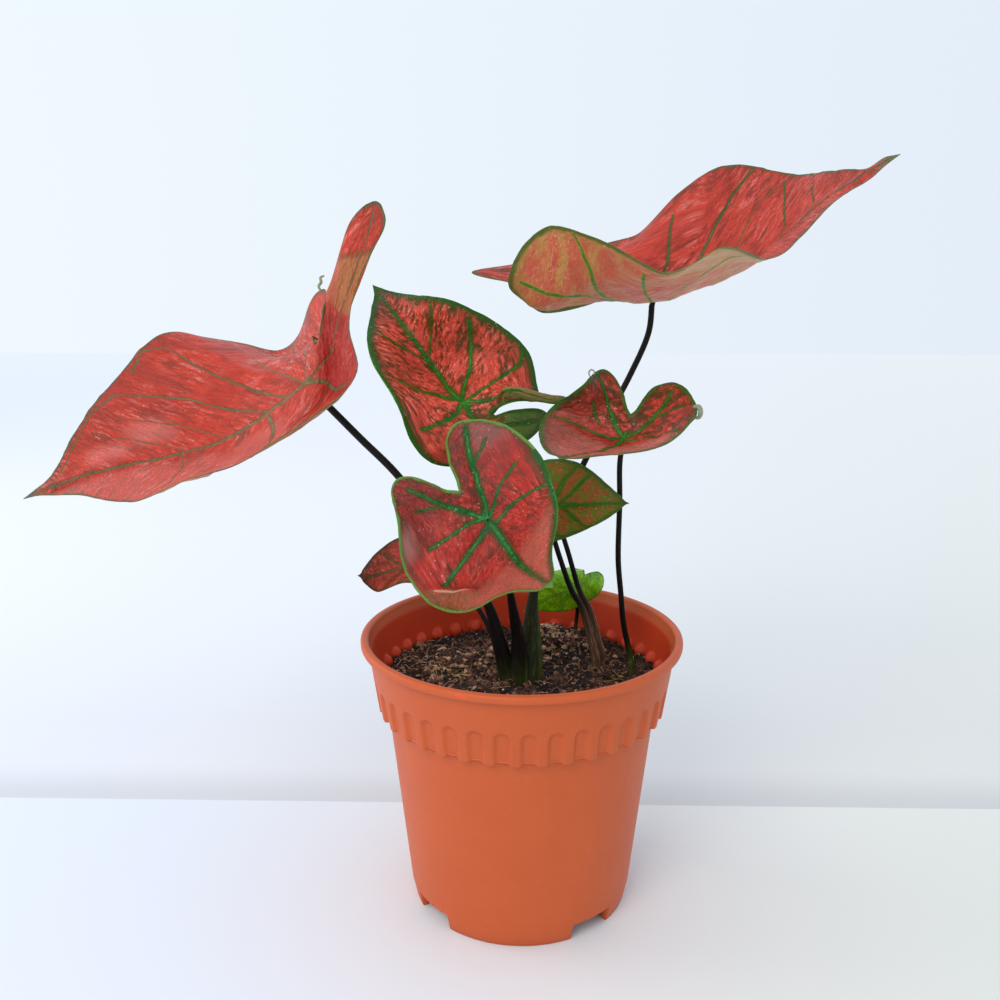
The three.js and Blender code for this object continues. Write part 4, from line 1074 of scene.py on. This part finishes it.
# %% Measures of the pot
# The neck is where the band meets the lip, and the ledge where the wall narrows inside.
HEIGHT, LIP_RADIUS, LIP_INNER, LIP_BOTTOM = 131.5, 75.0, 71.1, 127.7
WALL, NECK, BAND_FOOT, BAND_BOTTOM = 1.9, 71.7, 67.2, 97.0
BODY_TOP, BODY_BOTTOM, FOOT_RADIUS, FOOT_WIDTH, FOOT_HEIGHT = 63.0, 53.4, 51.6, 2.4, 8.2
FLOOR_BELOW, FLOOR_ABOVE, FLOOR_EDGE = 9.0, 11.0, 44.0
ARCHES, ARCH_FIRST, ARCH_HALF, ARCH_TOP, ARCH_DEPTH = 38, math.radians(-87.1), 3.7, 112.6, 1.5
SWELLING_RADIUS, SWELLING_DEPTH, SWELLING_Z = 3.5, 3.0, 109.9
SCALLOP_Z, SCALLOP_DROP = 97.5, 1.2  # the band's edge in a recess, and how much lower it is between
SCALLOP_THIN = 0.6  # height of the part of that edge where a recess is less deep
LEDGE = BAND_BOTTOM + WALL
NOTCHES, NOTCH_FIRST, NOTCH_HALF, NOTCH_SIDE = 4, math.radians(-51), math.radians(12), 0.004
EDGE = 0.45  # softness of a moulded edge
SCOOP = 2.0  # how far inside its edge a recess gets to its full depth
COLUMNS_PER_ARCH = 24
DRAINS, DRAIN_RADIUS, DRAIN_REACH, DRAIN_FIRST = 4, 4.0, 30.0, math.radians(15)
RIM_SIDES, DRAIN_SIDES = 180, 40  # of the floor's outline and of each drain hole
SKIN = 0.02  # the floor plate is this much thinner than the floor, so that no two faces lie together


def band_outside(z):
    return BAND_FOOT + (NECK - BAND_FOOT) * (z - BAND_BOTTOM) / (LIP_BOTTOM - BAND_BOTTOM)


def body_outside(z):
    return BODY_BOTTOM + (BODY_TOP - BODY_BOTTOM) * (z - FOOT_HEIGHT) / (BAND_BOTTOM - FOOT_HEIGHT)


print("outside radius of the wall at the ledge:", round(body_outside(LEDGE), 2))


# %% Turning the wall of the pot
def from_centre(angle, count, first):
    """The angle from the nearest of a ring of equal centres."""
    step = 2 * math.pi / count
    return (angle - first + step / 2) % step - step / 2


def inside_tongue(across, z, half):
    """How far a point is inside a round-topped tongue that is open at the bottom."""
    return half - np.hypot(across, np.clip(z - (ARCH_TOP - half), 0, None))


def pot_profile():
    """Radius, height and kind of each row of the wall, from the floor out, up and in again."""
    foot_inside = FOOT_RADIUS - FOOT_WIDTH
    step = body_outside(95.4)  # where the body turns out to the band
    lines = [
        ("plain", [(FLOOR_EDGE, FLOOR_BELOW), (foot_inside, FLOOR_BELOW)]),
        ("foot", [(foot_inside, 4.5), (foot_inside + 0.05, 0.3), (foot_inside + 0.4, 0)]),
        ("foot", [(FOOT_RADIUS - 0.4, 0), (FOOT_RADIUS, 0.35), (52.5, 4.3)]),
        ("plain", [(BODY_BOTTOM, FOOT_HEIGHT + 0.2)]),
        ("plain", [(body_outside(z), z) for z in (*np.linspace(12, 92, 9), 94, 95)]),
        ("plain", [(step + 0.25, 95.6), (step + 1.1, 95.9)]),
        ("edge", [(BAND_FOOT - 0.7, 0), (BAND_FOOT - 0.1, 0.3), (BAND_FOOT, 0.8)]),
        ("band", [(band_outside(z), z) for z in np.linspace(98.8, 104, 7)]),
        ("band", [(band_outside(z), z) for z in np.linspace(104.6, 113.6, 22)]),
        ("band", [(band_outside(z), z) for z in np.linspace(115, 126.6, 8)]),
        ("plain", [(NECK + 0.1, 127.3), (NECK + 0.7, 127.62), (74.2, LIP_BOTTOM), (74.75, 127.95)]),
        ("plain", [(74.96, 128.5), (LIP_RADIUS, 129.3), (74.97, 130.1), (74.75, 130.8), (74.3, 131.25)]),
        ("plain", [(73.7, 131.46), (73.1, HEIGHT), (72.5, 131.46), (71.9, 131.25), (71.45, 130.8)]),
        ("plain", [(71.2, 130.1), (LIP_INNER, 129.2)]),
        ("inside", [(band_outside(z) - WALL, z) for z in np.linspace(126.5, 116, 6)]),
        ("inside", [(band_outside(z) - WALL, z) for z in np.linspace(114, 104, 19)]),
        ("inside", [(band_outside(LEDGE) - WALL, LEDGE + 1)]),
        ("plain", [(body_outside(z) - WALL, z) for z in (LEDGE, 70, 40, FLOOR_ABOVE + 1)]),
        ("plain", [(body_outside(FLOOR_ABOVE) - WALL - 1, FLOOR_ABOVE), (FLOOR_EDGE, FLOOR_ABOVE)]),
    ]
    return [(radius, z, kind) for kind, places in lines for radius, z in places]


def build_pot_wall(outer, inner):
    rows = pot_profile()
    step = 2 * math.pi / ARCHES / COLUMNS_PER_ARCH
    angle = ARCH_FIRST + step * np.arange(ARCHES * COLUMNS_PER_ARCH)
    near_arch = from_centre(angle, ARCHES, ARCH_FIRST)
    from_notch = np.abs(from_centre(angle, NOTCHES, NOTCH_FIRST))
    notch = ease(from_notch, NOTCH_HALF + NOTCH_SIDE, NOTCH_HALF - NOTCH_SIDE)
    points = []
    for radius, z, kind in rows:
        radius, z = np.full(len(angle), radius), np.full(len(angle), z)
        across = near_arch * radius
        if kind == "foot":
            z = z + (FOOT_HEIGHT - z) * notch
        if kind == "edge":
            land = ease(np.abs(across), ARCH_HALF - SCOOP, ARCH_HALF + EDGE)
            z = z + SCALLOP_Z - SCALLOP_DROP * land ** 2
            radius = radius - (ARCH_DEPTH - EDGE * (z < SCALLOP_Z + SCALLOP_THIN)) * (1 - land)
        if kind == "band":
            radius = radius - ARCH_DEPTH * ease(inside_tongue(across, z, ARCH_HALF), -EDGE, SCOOP)
        if kind == "inside":
            swell = np.clip(1 - ((across ** 2 + (z - SWELLING_Z) ** 2) / SWELLING_RADIUS ** 2), 0, 1)
            radius = radius - SWELLING_DEPTH * np.sqrt(swell)
        points.append(np.column_stack([radius * np.cos(angle), radius * np.sin(angle), z]))
    columns, total = len(angle), len(angle) * len(rows)
    faces = [tuple(corner % total for corner in face) for face in between_rings(len(rows) + 1, columns)]
    piece = make_piece("pot_wall", np.vstack(points), faces, [outer, inner], "pot", "pot_plastic")
    kinds = [kind == "inside" for _, _, kind in rows]
    piece.data.polygons.foreach_set("material_index", np.repeat(kinds, columns).astype(np.int32))


def circle(x, y, radius, count):
    return [
        (x + radius * math.cos(a), y + radius * math.sin(a))
        for a in np.linspace(0, 2 * math.pi, count, endpoint=False)
    ]


def build_pot_floor(material):
    """A round plate with its drain holes. Its edge is inside the wall."""
    plate = bmesh.new()
    loops = [circle(0, 0, FLOOR_EDGE + 0.5, RIM_SIDES)]
    for hole in range(DRAINS):
        a = DRAIN_FIRST + 2 * math.pi * hole / DRAINS
        loops.append(circle(DRAIN_REACH * math.cos(a), DRAIN_REACH * math.sin(a), DRAIN_RADIUS, DRAIN_SIDES))
    edges = []
    for loop in loops:
        corners = [plate.verts.new((x, y, FLOOR_BELOW + SKIN)) for x, y in loop]
        edges += [plate.edges.new(pair) for pair in zip(corners, corners[1:] + corners[:1])]
    bmesh.ops.triangle_fill(plate, use_beauty=True, edges=edges)
    bmesh.ops.dissolve_limit(plate, angle_limit=0.01, verts=plate.verts, edges=[])
    extruded = bmesh.ops.extrude_face_region(plate, geom=list(plate.faces))
    for item in extruded["geom"]:
        if isinstance(item, bmesh.types.BMVert):
            item.co.z = FLOOR_ABOVE - SKIN
    bmesh.ops.recalc_face_normals(plate, faces=plate.faces)
    make_piece("pot_floor", *drawn_with(plate), [material], "pot", "pot_plastic")


# %% [markdown]
# The plastic is tinted through, so its colour varies only in faint clouds, with pale dust and
# scuffs where it was handled. Polypropylene has an IOR of about 1.49, taken a little lower for the
# matt skin of a textured mould.

# %% Injection-moulded terracotta-coloured polypropylene
def pot_material(name, base, cloud, dusty):
    material, tree, shader = new_material(name)
    place = add_millimetres(tree)
    clouds = add_node(tree, "TexNoise", {"Vector": place, "Scale": 0.035, "Detail": 4, "Roughness": 0.6})
    grain = add_node(tree, "TexNoise", {"Vector": place, "Scale": 1.6, "Detail": 3, "Roughness": 0.6})
    scuffs = add_node(tree, "TexNoise", {"Vector": place, "Scale": 0.32, "Detail": 6, "Roughness": 0.75})
    dust = add_node(tree, "MapRange", {
        "Value": scuffs, "From Min": 0.55, "From Max": 0.75, "To Max": 0.35,
    }, interpolation_type="SMOOTHSTEP")
    layers = [base, (clouds, cloud), (dust, dusty)]
    finish_surface(tree, shader, layers, (scuffs, 0.38, 0.6), (grain, 0.3, 0.1), {"IOR": 1.46})
    return material


POT_PLASTIC = pot_material("injection-moulded terracotta polypropylene", "#BC4E1C", "#CA5A24", "#D07044")
# The inside is a redder copy of the same plastic: painted light, the deeper red that light through the thin
# wall and between the walls gives it.
POT_INSIDE = pot_material("the same polypropylene, with painted light through the wall", "#C2340A", "#CE3E10", "#CE5228")
build_pot_wall(POT_PLASTIC, POT_INSIDE)
build_pot_floor(POT_PLASTIC)


# %% The flow mark on the lip
MARK_ANGLE, MARK_HALF_LENGTH, MARK_Z = math.radians(-109), 4.5, 129.6
MARK_SINK, MARK_THICKNESS, MARK_HALF_HEIGHT = 0.32, 0.42, 0.75
MARK_RAGGED, MARK_GRAIN, MARK_SLOPE = 0.35, 2.3, 0.35  # its ragged rim, and how it slopes to the right


def build_flow_mark(material):
    """A thin smear of fresher plastic where the two flows met in the mould."""
    smear = bmesh.new()
    bmesh.ops.create_uvsphere(smear, u_segments=32, v_segments=16, radius=1)
    ball, faces = drawn_with(smear)
    points = []
    for x, y, z in ball:
        angle = MARK_ANGLE + x * MARK_HALF_LENGTH / LIP_RADIUS
        radius = LIP_RADIUS - MARK_SINK + MARK_THICKNESS * y
        wander = MARK_RAGGED * noise.noise(Vector((x, y, z)) * MARK_GRAIN)
        height = MARK_Z + (MARK_HALF_HEIGHT + wander) * z - MARK_SLOPE * x
        points.append((radius * math.cos(angle), radius * math.sin(angle), height))
    make_piece("pot_flow_mark", points, faces, [material], "pot", "pot_plastic")


build_flow_mark(pot_material("fresh flash of the same polypropylene", "#DC3C0C", "#E65A1C", "#E87A3C"))

# %% [markdown]
# ## The potting mix
# The mix is dark moist peat and fine bark, heaped a little at the back, with threads of coir, pale
# grains of perlite, some moss, and a few pale root hairs. The bed is one surface with a rough skin.
# The crumbs on it are small stones and clods of a few shapes, each turned and sized by chance.

# %% The bed
HILLOCKS = [
    (13, 38, 9, 13), (-34, 12, 3, 14), (-16, -26, 2, 12), (34, -22, 2.5, 12),
    (44, 24, -2.5, 10), (-50, -12, -2, 10), (2, -48, -3, 14), (-22, 44, -2, 12),
]  # x, y, height and spread of each heap or hollow
RIPPLES = [(0.7, 0.31, 0.27, 1.3), (0.5, -0.4, 0.53, 0)]  # height, turn per mm along x and y, phase
SOIL_REACH = 66.6
SOIL_RINGS, SOIL_SPOKES, SOIL_SPREAD = 120, 320, 0.8
SOIL_BOTTOM = FLOOR_ABOVE + 0.4
SOIL_SIDES = [(66.2, LEDGE + 3), (60.9, LEDGE), (56.8, 60), (51.6, SOIL_BOTTOM)]  # radius and height


def soil_top(x, y):
    heaps = sum(h * np.exp(-((x - cx) ** 2 + (y - cy) ** 2) / (2 * s * s)) for cx, cy, h, s in HILLOCKS)
    waves = sum(h * np.sin(kx * x + ky * y + phase) for h, kx, ky, phase in RIPPLES)
    return SOIL_LEVEL + heaps + waves


def skin_at(x, y):
    """The height of the bed with its roughness, coarse and fine."""
    coarse = noise.fractal(Vector((x * 0.16, y * 0.16, 3.1)), 0.8, 2.1, 5)
    fine = noise.fractal(Vector((x * 0.7, y * 0.7, 9.4)), 0.6, 2.2, 3)
    return soil_top(x, y) + (0.8 * coarse + 0.45 * fine)


def build_bed(material):
    rings = [(SOIL_REACH * (ring / SOIL_RINGS) ** SOIL_SPREAD, None) for ring in range(1, SOIL_RINGS + 1)]
    rings += SOIL_SIDES
    points = [(0, 0, soil_top(0, 0))]
    for radius, level in rings:
        for a in turns(SOIL_SPOKES):
            x, y = radius * math.cos(a), radius * math.sin(a)
            points.append((x, y, level or skin_at(x, y)))
    points.append((0, 0, SOIL_BOTTOM))
    last = 1 + (len(rings) - 1) * SOIL_SPOKES
    faces = [(a, d, c, b) for a, b, c, d in between_rings(len(rings), SOIL_SPOKES, 1)]
    for s in range(SOIL_SPOKES):
        after = (s + 1) % SOIL_SPOKES
        faces += [(0, 1 + s, 1 + after), (len(points) - 1, last + after, last + s)]
    make_piece("soil_bed", points, faces, [material], "soil", "potting_mix")


# %% Shapes of crumbs
def stone_shapes(count, corners, chance):
    """Small lumps: each the hull round a few points of a ball."""
    shapes = []
    for _ in range(count):
        lump = bmesh.new()
        for _ in range(corners):
            way = Vector([chance.gauss(0, 1) for _ in range(3)]).normalized()
            lump.verts.new(way * chance.uniform(0.7, 1))
        hull = bmesh.ops.convex_hull(lump, input=lump.verts)
        loose = [item for item in hull["geom_interior"] if isinstance(item, bmesh.types.BMVert)]
        bmesh.ops.delete(lump, geom=loose, context="VERTS")
        bmesh.ops.recalc_face_normals(lump, faces=lump.faces)
        shapes.append(drawn_with(lump))
    return shapes


def clod_shapes(count, chance):
    """Rough lumps: each a ball pushed in and out by noise."""
    shapes = []
    for _ in range(count):
        ball = bmesh.new()
        bmesh.ops.create_icosphere(ball, subdivisions=3, radius=1)
        shift = Vector([chance.uniform(-50, 50) for _ in range(3)])
        for v in ball.verts:
            v.co *= 0.8 + 0.4 * noise.fractal(v.co * 1.9 + shift, 0.5, 2.3, 4)
        shapes.append(drawn_with(ball))
    return shapes


def anywhere(chance):
    """A place on the bed, just inside its edge."""
    radius, turn = (SOIL_REACH - 1.3) * math.sqrt(chance.random()), chance.uniform(0, 2 * math.pi)
    return radius * math.cos(turn), radius * math.sin(turn)


def near_place(cx, cy, spread):
    return lambda chance: (chance.gauss(cx, spread), chance.gauss(cy, spread))


# %% [markdown]
# Two functions strew the mix. One lays many lumps on the bed in one mesh: sizes are the least and
# the greatest in mm, stretch is how much longer than wide a lump can be, and seat how high its
# middle sits over the bed, in parts of its radius. The other lays loose fibres and root hairs, which
# are thin bent threads. Every lump and thread has a tint of its own, from 0 for the darkest to 1,
# which the material reads.

# %% Strewing lumps and threads
FIBRE_SIDES, FIBRE_STEPS, FIBRE_RISE = 5, 10, 0.5  # the last is how far its ends lie over the bed


def scatter(name, count, sizes, stretch, seat, material, chance, where, tint, shapes):
    points, faces, tints = [], [], []
    for _ in range(count):
        x, y = where(chance)
        shape, sides = chance.choice(shapes)
        size = chance.uniform(*sizes) * chance.uniform(0.8, 1) / 2
        scale = np.array([size * chance.uniform(1, stretch), size, size * chance.uniform(0.6, 0.9)])
        spin, tilt = chance.uniform(0, 2 * math.pi), chance.gauss(0, 0.35)
        tilted = [[1, 0, 0], [0, math.cos(tilt), -math.sin(tilt)], [0, math.sin(tilt), math.cos(tilt)]]
        turned = [[math.cos(spin), -math.sin(spin), 0], [math.sin(spin), math.cos(spin), 0], [0, 0, 1]]
        lump = (shape * scale) @ np.array(tilted) @ np.array(turned) + (x, y, skin_at(x, y) + size * seat)
        if np.hypot(lump[:, 0], lump[:, 1]).max() > SOIL_REACH:
            continue
        faces += [[corner + len(points) for corner in side] for side in sides]
        points += lump.tolist()
        tints += [tint(chance)] * len(shape)
    make_piece(name, points, faces, [material], "soil", "potting_mix", {"tint": tints})


def build_fibres(name, count, sizes, thickness, material, chance, where, tint):
    points, faces, tints = [], [], []
    for _ in range(count):
        x, y = where(chance)
        way, bend, length = chance.uniform(0, 2 * math.pi), chance.gauss(0, 0.16), chance.uniform(*sizes)
        lift, shade = chance.uniform(0.3, 1.4), tint(chance)
        rings, inside = [], True
        for step in range(FIBRE_STEPS + 1):
            rise = FIBRE_RISE + lift * math.sin(math.pi * step / FIBRE_STEPS)
            centre = Vector((x, y, skin_at(x, y) + rise))
            inside = inside and math.hypot(x, y) < SOIL_REACH - 1
            across, up = Vector((-math.sin(way), math.cos(way), 0)), Vector((0, 0, 1))
            for a in turns(FIBRE_SIDES):
                rings.append(tuple(centre + thickness * (math.cos(a) * across + math.sin(a) * up)))
            x, y = x + length / FIBRE_STEPS * math.cos(way), y + length / FIBRE_STEPS * math.sin(way)
            way += bend
        if not inside:
            continue
        first, end = len(points), range(FIBRE_SIDES)
        last = first + FIBRE_STEPS * FIBRE_SIDES
        faces += between_rings(FIBRE_STEPS + 1, FIBRE_SIDES, first)
        faces += [tuple(first + s for s in reversed(end)), tuple(last + s for s in end)]
        points += rings
        tints += [shade] * len(rings)
    make_piece(name, points, faces, [material], "soil", "potting_mix", {"tint": tints})


# %% [markdown]
# Moist peat is a dull brown sponge with no gloss. A fine noise moves its colour up and down from
# the tint of the crumb, and a relief of a millimetre and a half breaks its surface into smaller
# crumbs than a mesh could hold. The same noise raises the relief and lightens the colour, so the
# hollows are darker: painted shade in the crevices. Perlite and moss are drawn alike in other colours.

# %% Moist peat and bark
def soil_material(name, tints):
    """tints are the colours along the value 0 to 1 of the crumbs' own tint."""
    material, tree, shader = new_material(name)
    place = add_millimetres(tree)
    tint = add_node(tree, "Attribute", attribute_name="tint").outputs["Fac"]
    lumps = add_node(tree, "TexNoise", {"Vector": place, "Scale": 0.7, "Detail": 6, "Roughness": 0.75})
    specks = add_node(tree, "TexNoise", {"Vector": place, "Scale": 1.4, "Detail": 3, "Roughness": 0.7})
    # Painted shade: the relief's noise darkens the hollows, over the crumb's own tint.
    tint_with_hollow_shade = add_node(tree, "Math", {0: lumps, 1: 1.8, 2: -0.82}, operation="MULTIPLY_ADD")
    tint_with_hollow_shade = add_node(tree, "Math", {0: tint_with_hollow_shade, 1: tint}, operation="ADD")
    ramp = add_node(tree, "ValToRGB", {0: tint_with_hollow_shade})
    elements = ramp.color_ramp.elements
    for index, (at, colour) in enumerate(tints):
        element = elements[index] if index < 2 else elements.new(at)
        element.position, element.color = at, linear(colour)
    spot = add_node(tree, "MapRange", {
        "Value": specks, "From Min": 0.6, "From Max": 0.7, "To Max": 0.6,
    }, interpolation_type="SMOOTHSTEP")
    finish_surface(tree, shader, [ramp, (spot, "#B08A68")], (lumps, 0.7, 1.0), (lumps, 1.0, 1.5))
    return material


PEAT = soil_material("moist peat and bark", [
    (0, "#0C0706"), (0.24, "#321E16"), (0.46, "#6C4232"), (0.7, "#B08464"), (1.0, "#E2BE9C"),
])
STAINED_WHITE = [(0, "#A88E78"), (0.5, "#D0BAA4"), (1.0, "#EAE0D2")]
PERLITE = soil_material("expanded perlite grains, stained", STAINED_WHITE)
MOSS = soil_material("moss and yellowed bark", [(0, "#3E5A24"), (0.5, "#8A7A34"), (1.0, "#C8A040")])

# %% Filling the pot
LUCK = random.Random(7)  # the same at every run
CHIPS, CLODS = stone_shapes(24, 12, LUCK), clod_shapes(12, LUCK)
MOUND, BARK_HEAP = near_place(14, 38, 11), near_place(-31, 8, 13)
MOSS_FRONT, MOSS_BACK = near_place(-31, 0, 6), near_place(19, 24, 8)
build_bed(PEAT)
for name, count, sizes, stretch, seat, material, where, tint, shapes in (
    ("clods_a", 130, (4, 8), 1.5, 0, PEAT, anywhere, lambda c: 0.05 + 0.35 * c.random(), CLODS),
    ("clods_b", 150, (3, 6), 1.6, 0.2, PEAT, anywhere, lambda c: 0.05 + 0.45 * c.random(), CLODS),
    ("grit", 1400, (1.6, 3.8), 1.6, 0.2, PEAT, anywhere, lambda c: 0.45 * c.random(), CHIPS),
    ("chips", 2400, (0.8, 2.4), 2.2, 0.5, PEAT, anywhere, lambda c: 0.05 + 0.85 * c.random() ** 3, CHIPS),
    ("bark", 260, (1.3, 3.4), 2.4, 0.7, PEAT, BARK_HEAP, lambda c: c.uniform(0.3, 0.85), CHIPS),
    ("mound", 110, (1.6, 3.4), 1.4, 0.8, PEAT, MOUND, lambda c: c.uniform(0.5, 1), CLODS),
    ("mound_grit", 260, (0.8, 1.8), 1.4, 1.6, PEAT, MOUND, lambda c: c.uniform(0.5, 1), CHIPS),
    ("perlite", 340, (0.6, 1.6), 1.5, 0.9, PERLITE, anywhere, lambda c: c.random(), CHIPS),
    ("moss", 110, (0.7, 1.7), 1.6, 0.9, MOSS, MOSS_FRONT, lambda c: c.random(), CHIPS),
    ("moss_back", 40, (0.8, 1.8), 1.4, 1, MOSS, MOSS_BACK, lambda c: 0.3 * c.random(), CHIPS),
):
    scatter(f"soil_{name}", count, sizes, stretch, seat, material, LUCK, where, tint, shapes)
for name, count, sizes, thickness, material, where, tint in (
    ("coir", 240, (4, 11), 0.16, PEAT, anywhere, lambda c: c.uniform(0.3, 0.9)),
    ("hairs", 10, (10, 18), 0.14, PERLITE, near_place(-45, 5, 9), lambda c: c.uniform(0.2, 0.8)),
    ("hairs_right", 7, (10, 16), 0.2, MOSS, near_place(48, -12, 6), lambda c: c.uniform(0.5, 0.9)),
):
    build_fibres(f"soil_{name}", count, sizes, thickness, material, LUCK, where, tint)

# %% [markdown]
# ## The tuber
# The tuber is hidden in the mix: a flattened ball with three growing knobs and a corky brown skin.

# %% The tuber
TUBER_CENTRE, TUBER_RADII = (6, 4, 70), (34, 27, 15)
TUBER_KNOBS = [(-12, 10, 5), (22, -8, 6), (26, 14, 4.5)]  # x, y and radius
TUBER_RINGS, TUBER_SPOKES = 48, 96
KNOB_HEIGHT, TUBER_ROUGH = 0.8, 0.012  # in parts of a knob's radius, and of the tuber's
OPEN_END = 0.001  # of a ring's step, so that the first and last rings are small holes and not one point


def build_tuber(material):
    points = []
    for ring in range(TUBER_RINGS + 1):
        polar = math.pi * (ring + OPEN_END) / (TUBER_RINGS + 2 * OPEN_END)
        for a in turns(TUBER_SPOKES):
            way = Vector((math.sin(polar) * math.cos(a), math.sin(polar) * math.sin(a), math.cos(polar)))
            place = Vector([way[i] * TUBER_RADII[i] for i in range(3)])
            for x, y, size in TUBER_KNOBS:
                near = math.exp(-((place.x - x) ** 2 + (place.y - y) ** 2) / (size * size)) * (way.z > 0)
                place.z += KNOB_HEIGHT * size * near
            place *= 1 - TUBER_ROUGH * (1 + noise.fractal(place * 0.2, 0.9, 2.1, 4))
            points.append(tuple(place + Vector(TUBER_CENTRE)))
    faces = [(a, d, c, b) for a, b, c, d in between_rings(TUBER_RINGS + 1, TUBER_SPOKES)]
    make_piece("tuber_skin", points, faces, [material], "tuber", "tuber_skin")


def tuber_material():
    """Cork is dull and cracks into scales, a few millimetres across."""
    material, tree, shader = new_material("corky tuber skin")
    place = add_millimetres(tree)
    cork = add_node(tree, "TexVoronoi", {"Vector": place, "Scale": 0.35}, feature="DISTANCE_TO_EDGE")
    stain = add_node(tree, "TexNoise", {"Vector": place, "Scale": 0.12, "Detail": 5})
    finish_surface(tree, shader, ["#4A3424", (stain, "#8A6A4A")], (stain, 0.8, 1.0), (cork, 0.6, 0.8))
    return material


build_tuber(tuber_material())

# %% [markdown]
# ## The studio
# The plant stands on a pale board. Behind the pot a second board begins, a little bluer, with a
# soft shadow along the seam, and it glows faintly further back so that it runs into the room. The
# light is a pale room with two large soft lamps, one at the left front and one at the left, a little
# behind. The scene is shown with the standard view, so that white stays white and the reds keep
# their strength.

# %% Floor
BOARD = 3000  # half its width
BOARD_LINE, SEAM_HALF = 71 + AXIS[1] / MM, 0.4  # where the front board ends behind the pot
SHADE_REACH, SHADE = 45, 0.45  # how far back the shadow along the seam goes, and how strong it starts
FAN_START = 450  # both boards change colour over a fan from this point in front of the pot
FAN_HALF = 0.45  # the tangent of the angle to either side of the fan
GLOW, GLOW_LOSS = 0.33, -213  # the glow is the first plus the second over the distance from there


def floor_material():
    material, tree, shader = new_material("matt painted board")
    place = add_millimetres(tree)
    grain = add_node(tree, "TexNoise", {"Vector": place, "Scale": 0.4, "Detail": 4})
    split = add_node(tree, "SeparateXYZ", {0: place})
    x, y = split.outputs["X"], split.outputs["Y"]
    behind = add_node(tree, "MapRange", {
        "Value": y, "From Min": BOARD_LINE - SEAM_HALF, "From Max": BOARD_LINE + SEAM_HALF,
    })
    seam = add_node(tree, "MapRange", {
        "Value": y, "From Min": BOARD_LINE + SHADE_REACH, "From Max": BOARD_LINE, "To Max": SHADE,
    }, interpolation_type="SMOOTHSTEP")
    # Painted light: both boards are bluer at the left and greyer towards the right, as the light falls
    # across them, over a fan from in front of the pot.
    depth = add_node(tree, "Math", {0: y, 1: FAN_START}, operation="ADD")
    fan = add_node(tree, "Math", {0: x, 1: depth}, operation="DIVIDE")
    right = add_node(tree, "MapRange", {"Value": fan, "From Min": -FAN_HALF, "From Max": FAN_HALF})
    front, back = (
        add_node(tree, "Mix", {0: right, MIX_A: linear(a), MIX_B: linear(b)}, data_type="RGBA")
        for a, b in (("#DCE3F2", "#E3E5E1"), ("#DFE2EC", "#DEDFDE"))
    )
    shaded = add_node(tree, "Mix", {0: seam, MIX_A: back, MIX_B: linear("#B6BABE")}, data_type="RGBA")
    glow = add_node(tree, "Math", {0: GLOW_LOSS, 1: depth}, operation="DIVIDE")
    glow = add_node(tree, "Math", {0: glow, 1: GLOW}, operation="ADD", use_clamp=True)
    glow = add_node(tree, "Math", {0: behind, 1: glow}, operation="MULTIPLY")
    lit = {"Emission Color": back, "Emission Strength": glow}
    finish_surface(tree, shader, [front, (behind, shaded)], (grain, 0.75, 0.95), more=lit)
    return material


corners = [(x * BOARD, y * BOARD, 0) for x, y in ((-1, -1), (1, -1), (1, 1), (-1, 1))]
board = make_piece("board", corners, [(0, 1, 2, 3)], [floor_material()])

# %% Light
scene = bpy.context.scene
world = bpy.data.worlds.new("pale room")
scene.world = world
world.use_nodes = True
sky = world.node_tree
background = next(node for node in sky.nodes if node.type == "BACKGROUND")
toward = add_node(sky, "SeparateXYZ", {0: add_node(sky, "TexCoord").outputs["Generated"]})
to_right = add_node(sky, "MapRange", {
    "Value": toward.outputs["X"], "From Min": -FAN_HALF, "From Max": FAN_HALF,
})
tone = add_node(sky, "Mix", {
    0: to_right, MIX_A: linear("#F0F9FF"), MIX_B: linear("#E4EDF8"),
}, data_type="RGBA")
connect(sky, background, {"Color": tone})
scene.view_settings.view_transform = "Standard"
AIM = (0, 0, 180)


def in_frame(place):
    """A place given in millimetres from the axis of the pot, in metres in the frame."""
    return Vector(np.array(place) * MM + AXIS)


def add_lamp(name, place, size, power, colour):
    """A square soft lamp that faces the middle of the plant."""
    lamp = bpy.data.lights.new(name, "AREA")
    lamp.size = size * MM
    lamp.energy = power
    lamp.color = linear(colour)[:3]
    holder = bpy.data.objects.new(name, lamp)
    holder.location = in_frame(place)
    holder.rotation_euler = (in_frame(AIM) - holder.location).to_track_quat("-Z", "Y").to_euler()
    scene.collection.objects.link(holder)
    print(f"lamp {name}: {power} W")


add_lamp("key", (-450, -900, 950), 600, 6.2, "#FFF6EA")
add_lamp("side", (-1350, 250, 700), 800, 5, "#FFFAF4")

# %% Camera
# The lens is as long as the sensor is wide, so the square view is about 53 degrees wide.
CAMERA_PLACE = (0, -443.7, 299.1)
CAMERA_DOWN, CAMERA_LEFT = math.radians(13.281), 0.0226
eye = bpy.data.cameras.new("view from the front")
eye.lens = eye.sensor_width
eye.clip_start = 0.01
camera = bpy.data.objects.new("view from the front", eye)
camera.location = in_frame(CAMERA_PLACE)
camera.rotation_euler = (math.pi / 2 - CAMERA_DOWN, 0, CAMERA_LEFT)
scene.collection.objects.link(camera)
scene.camera = camera
print("camera at", tuple(round(value, 3) for value in camera.location))
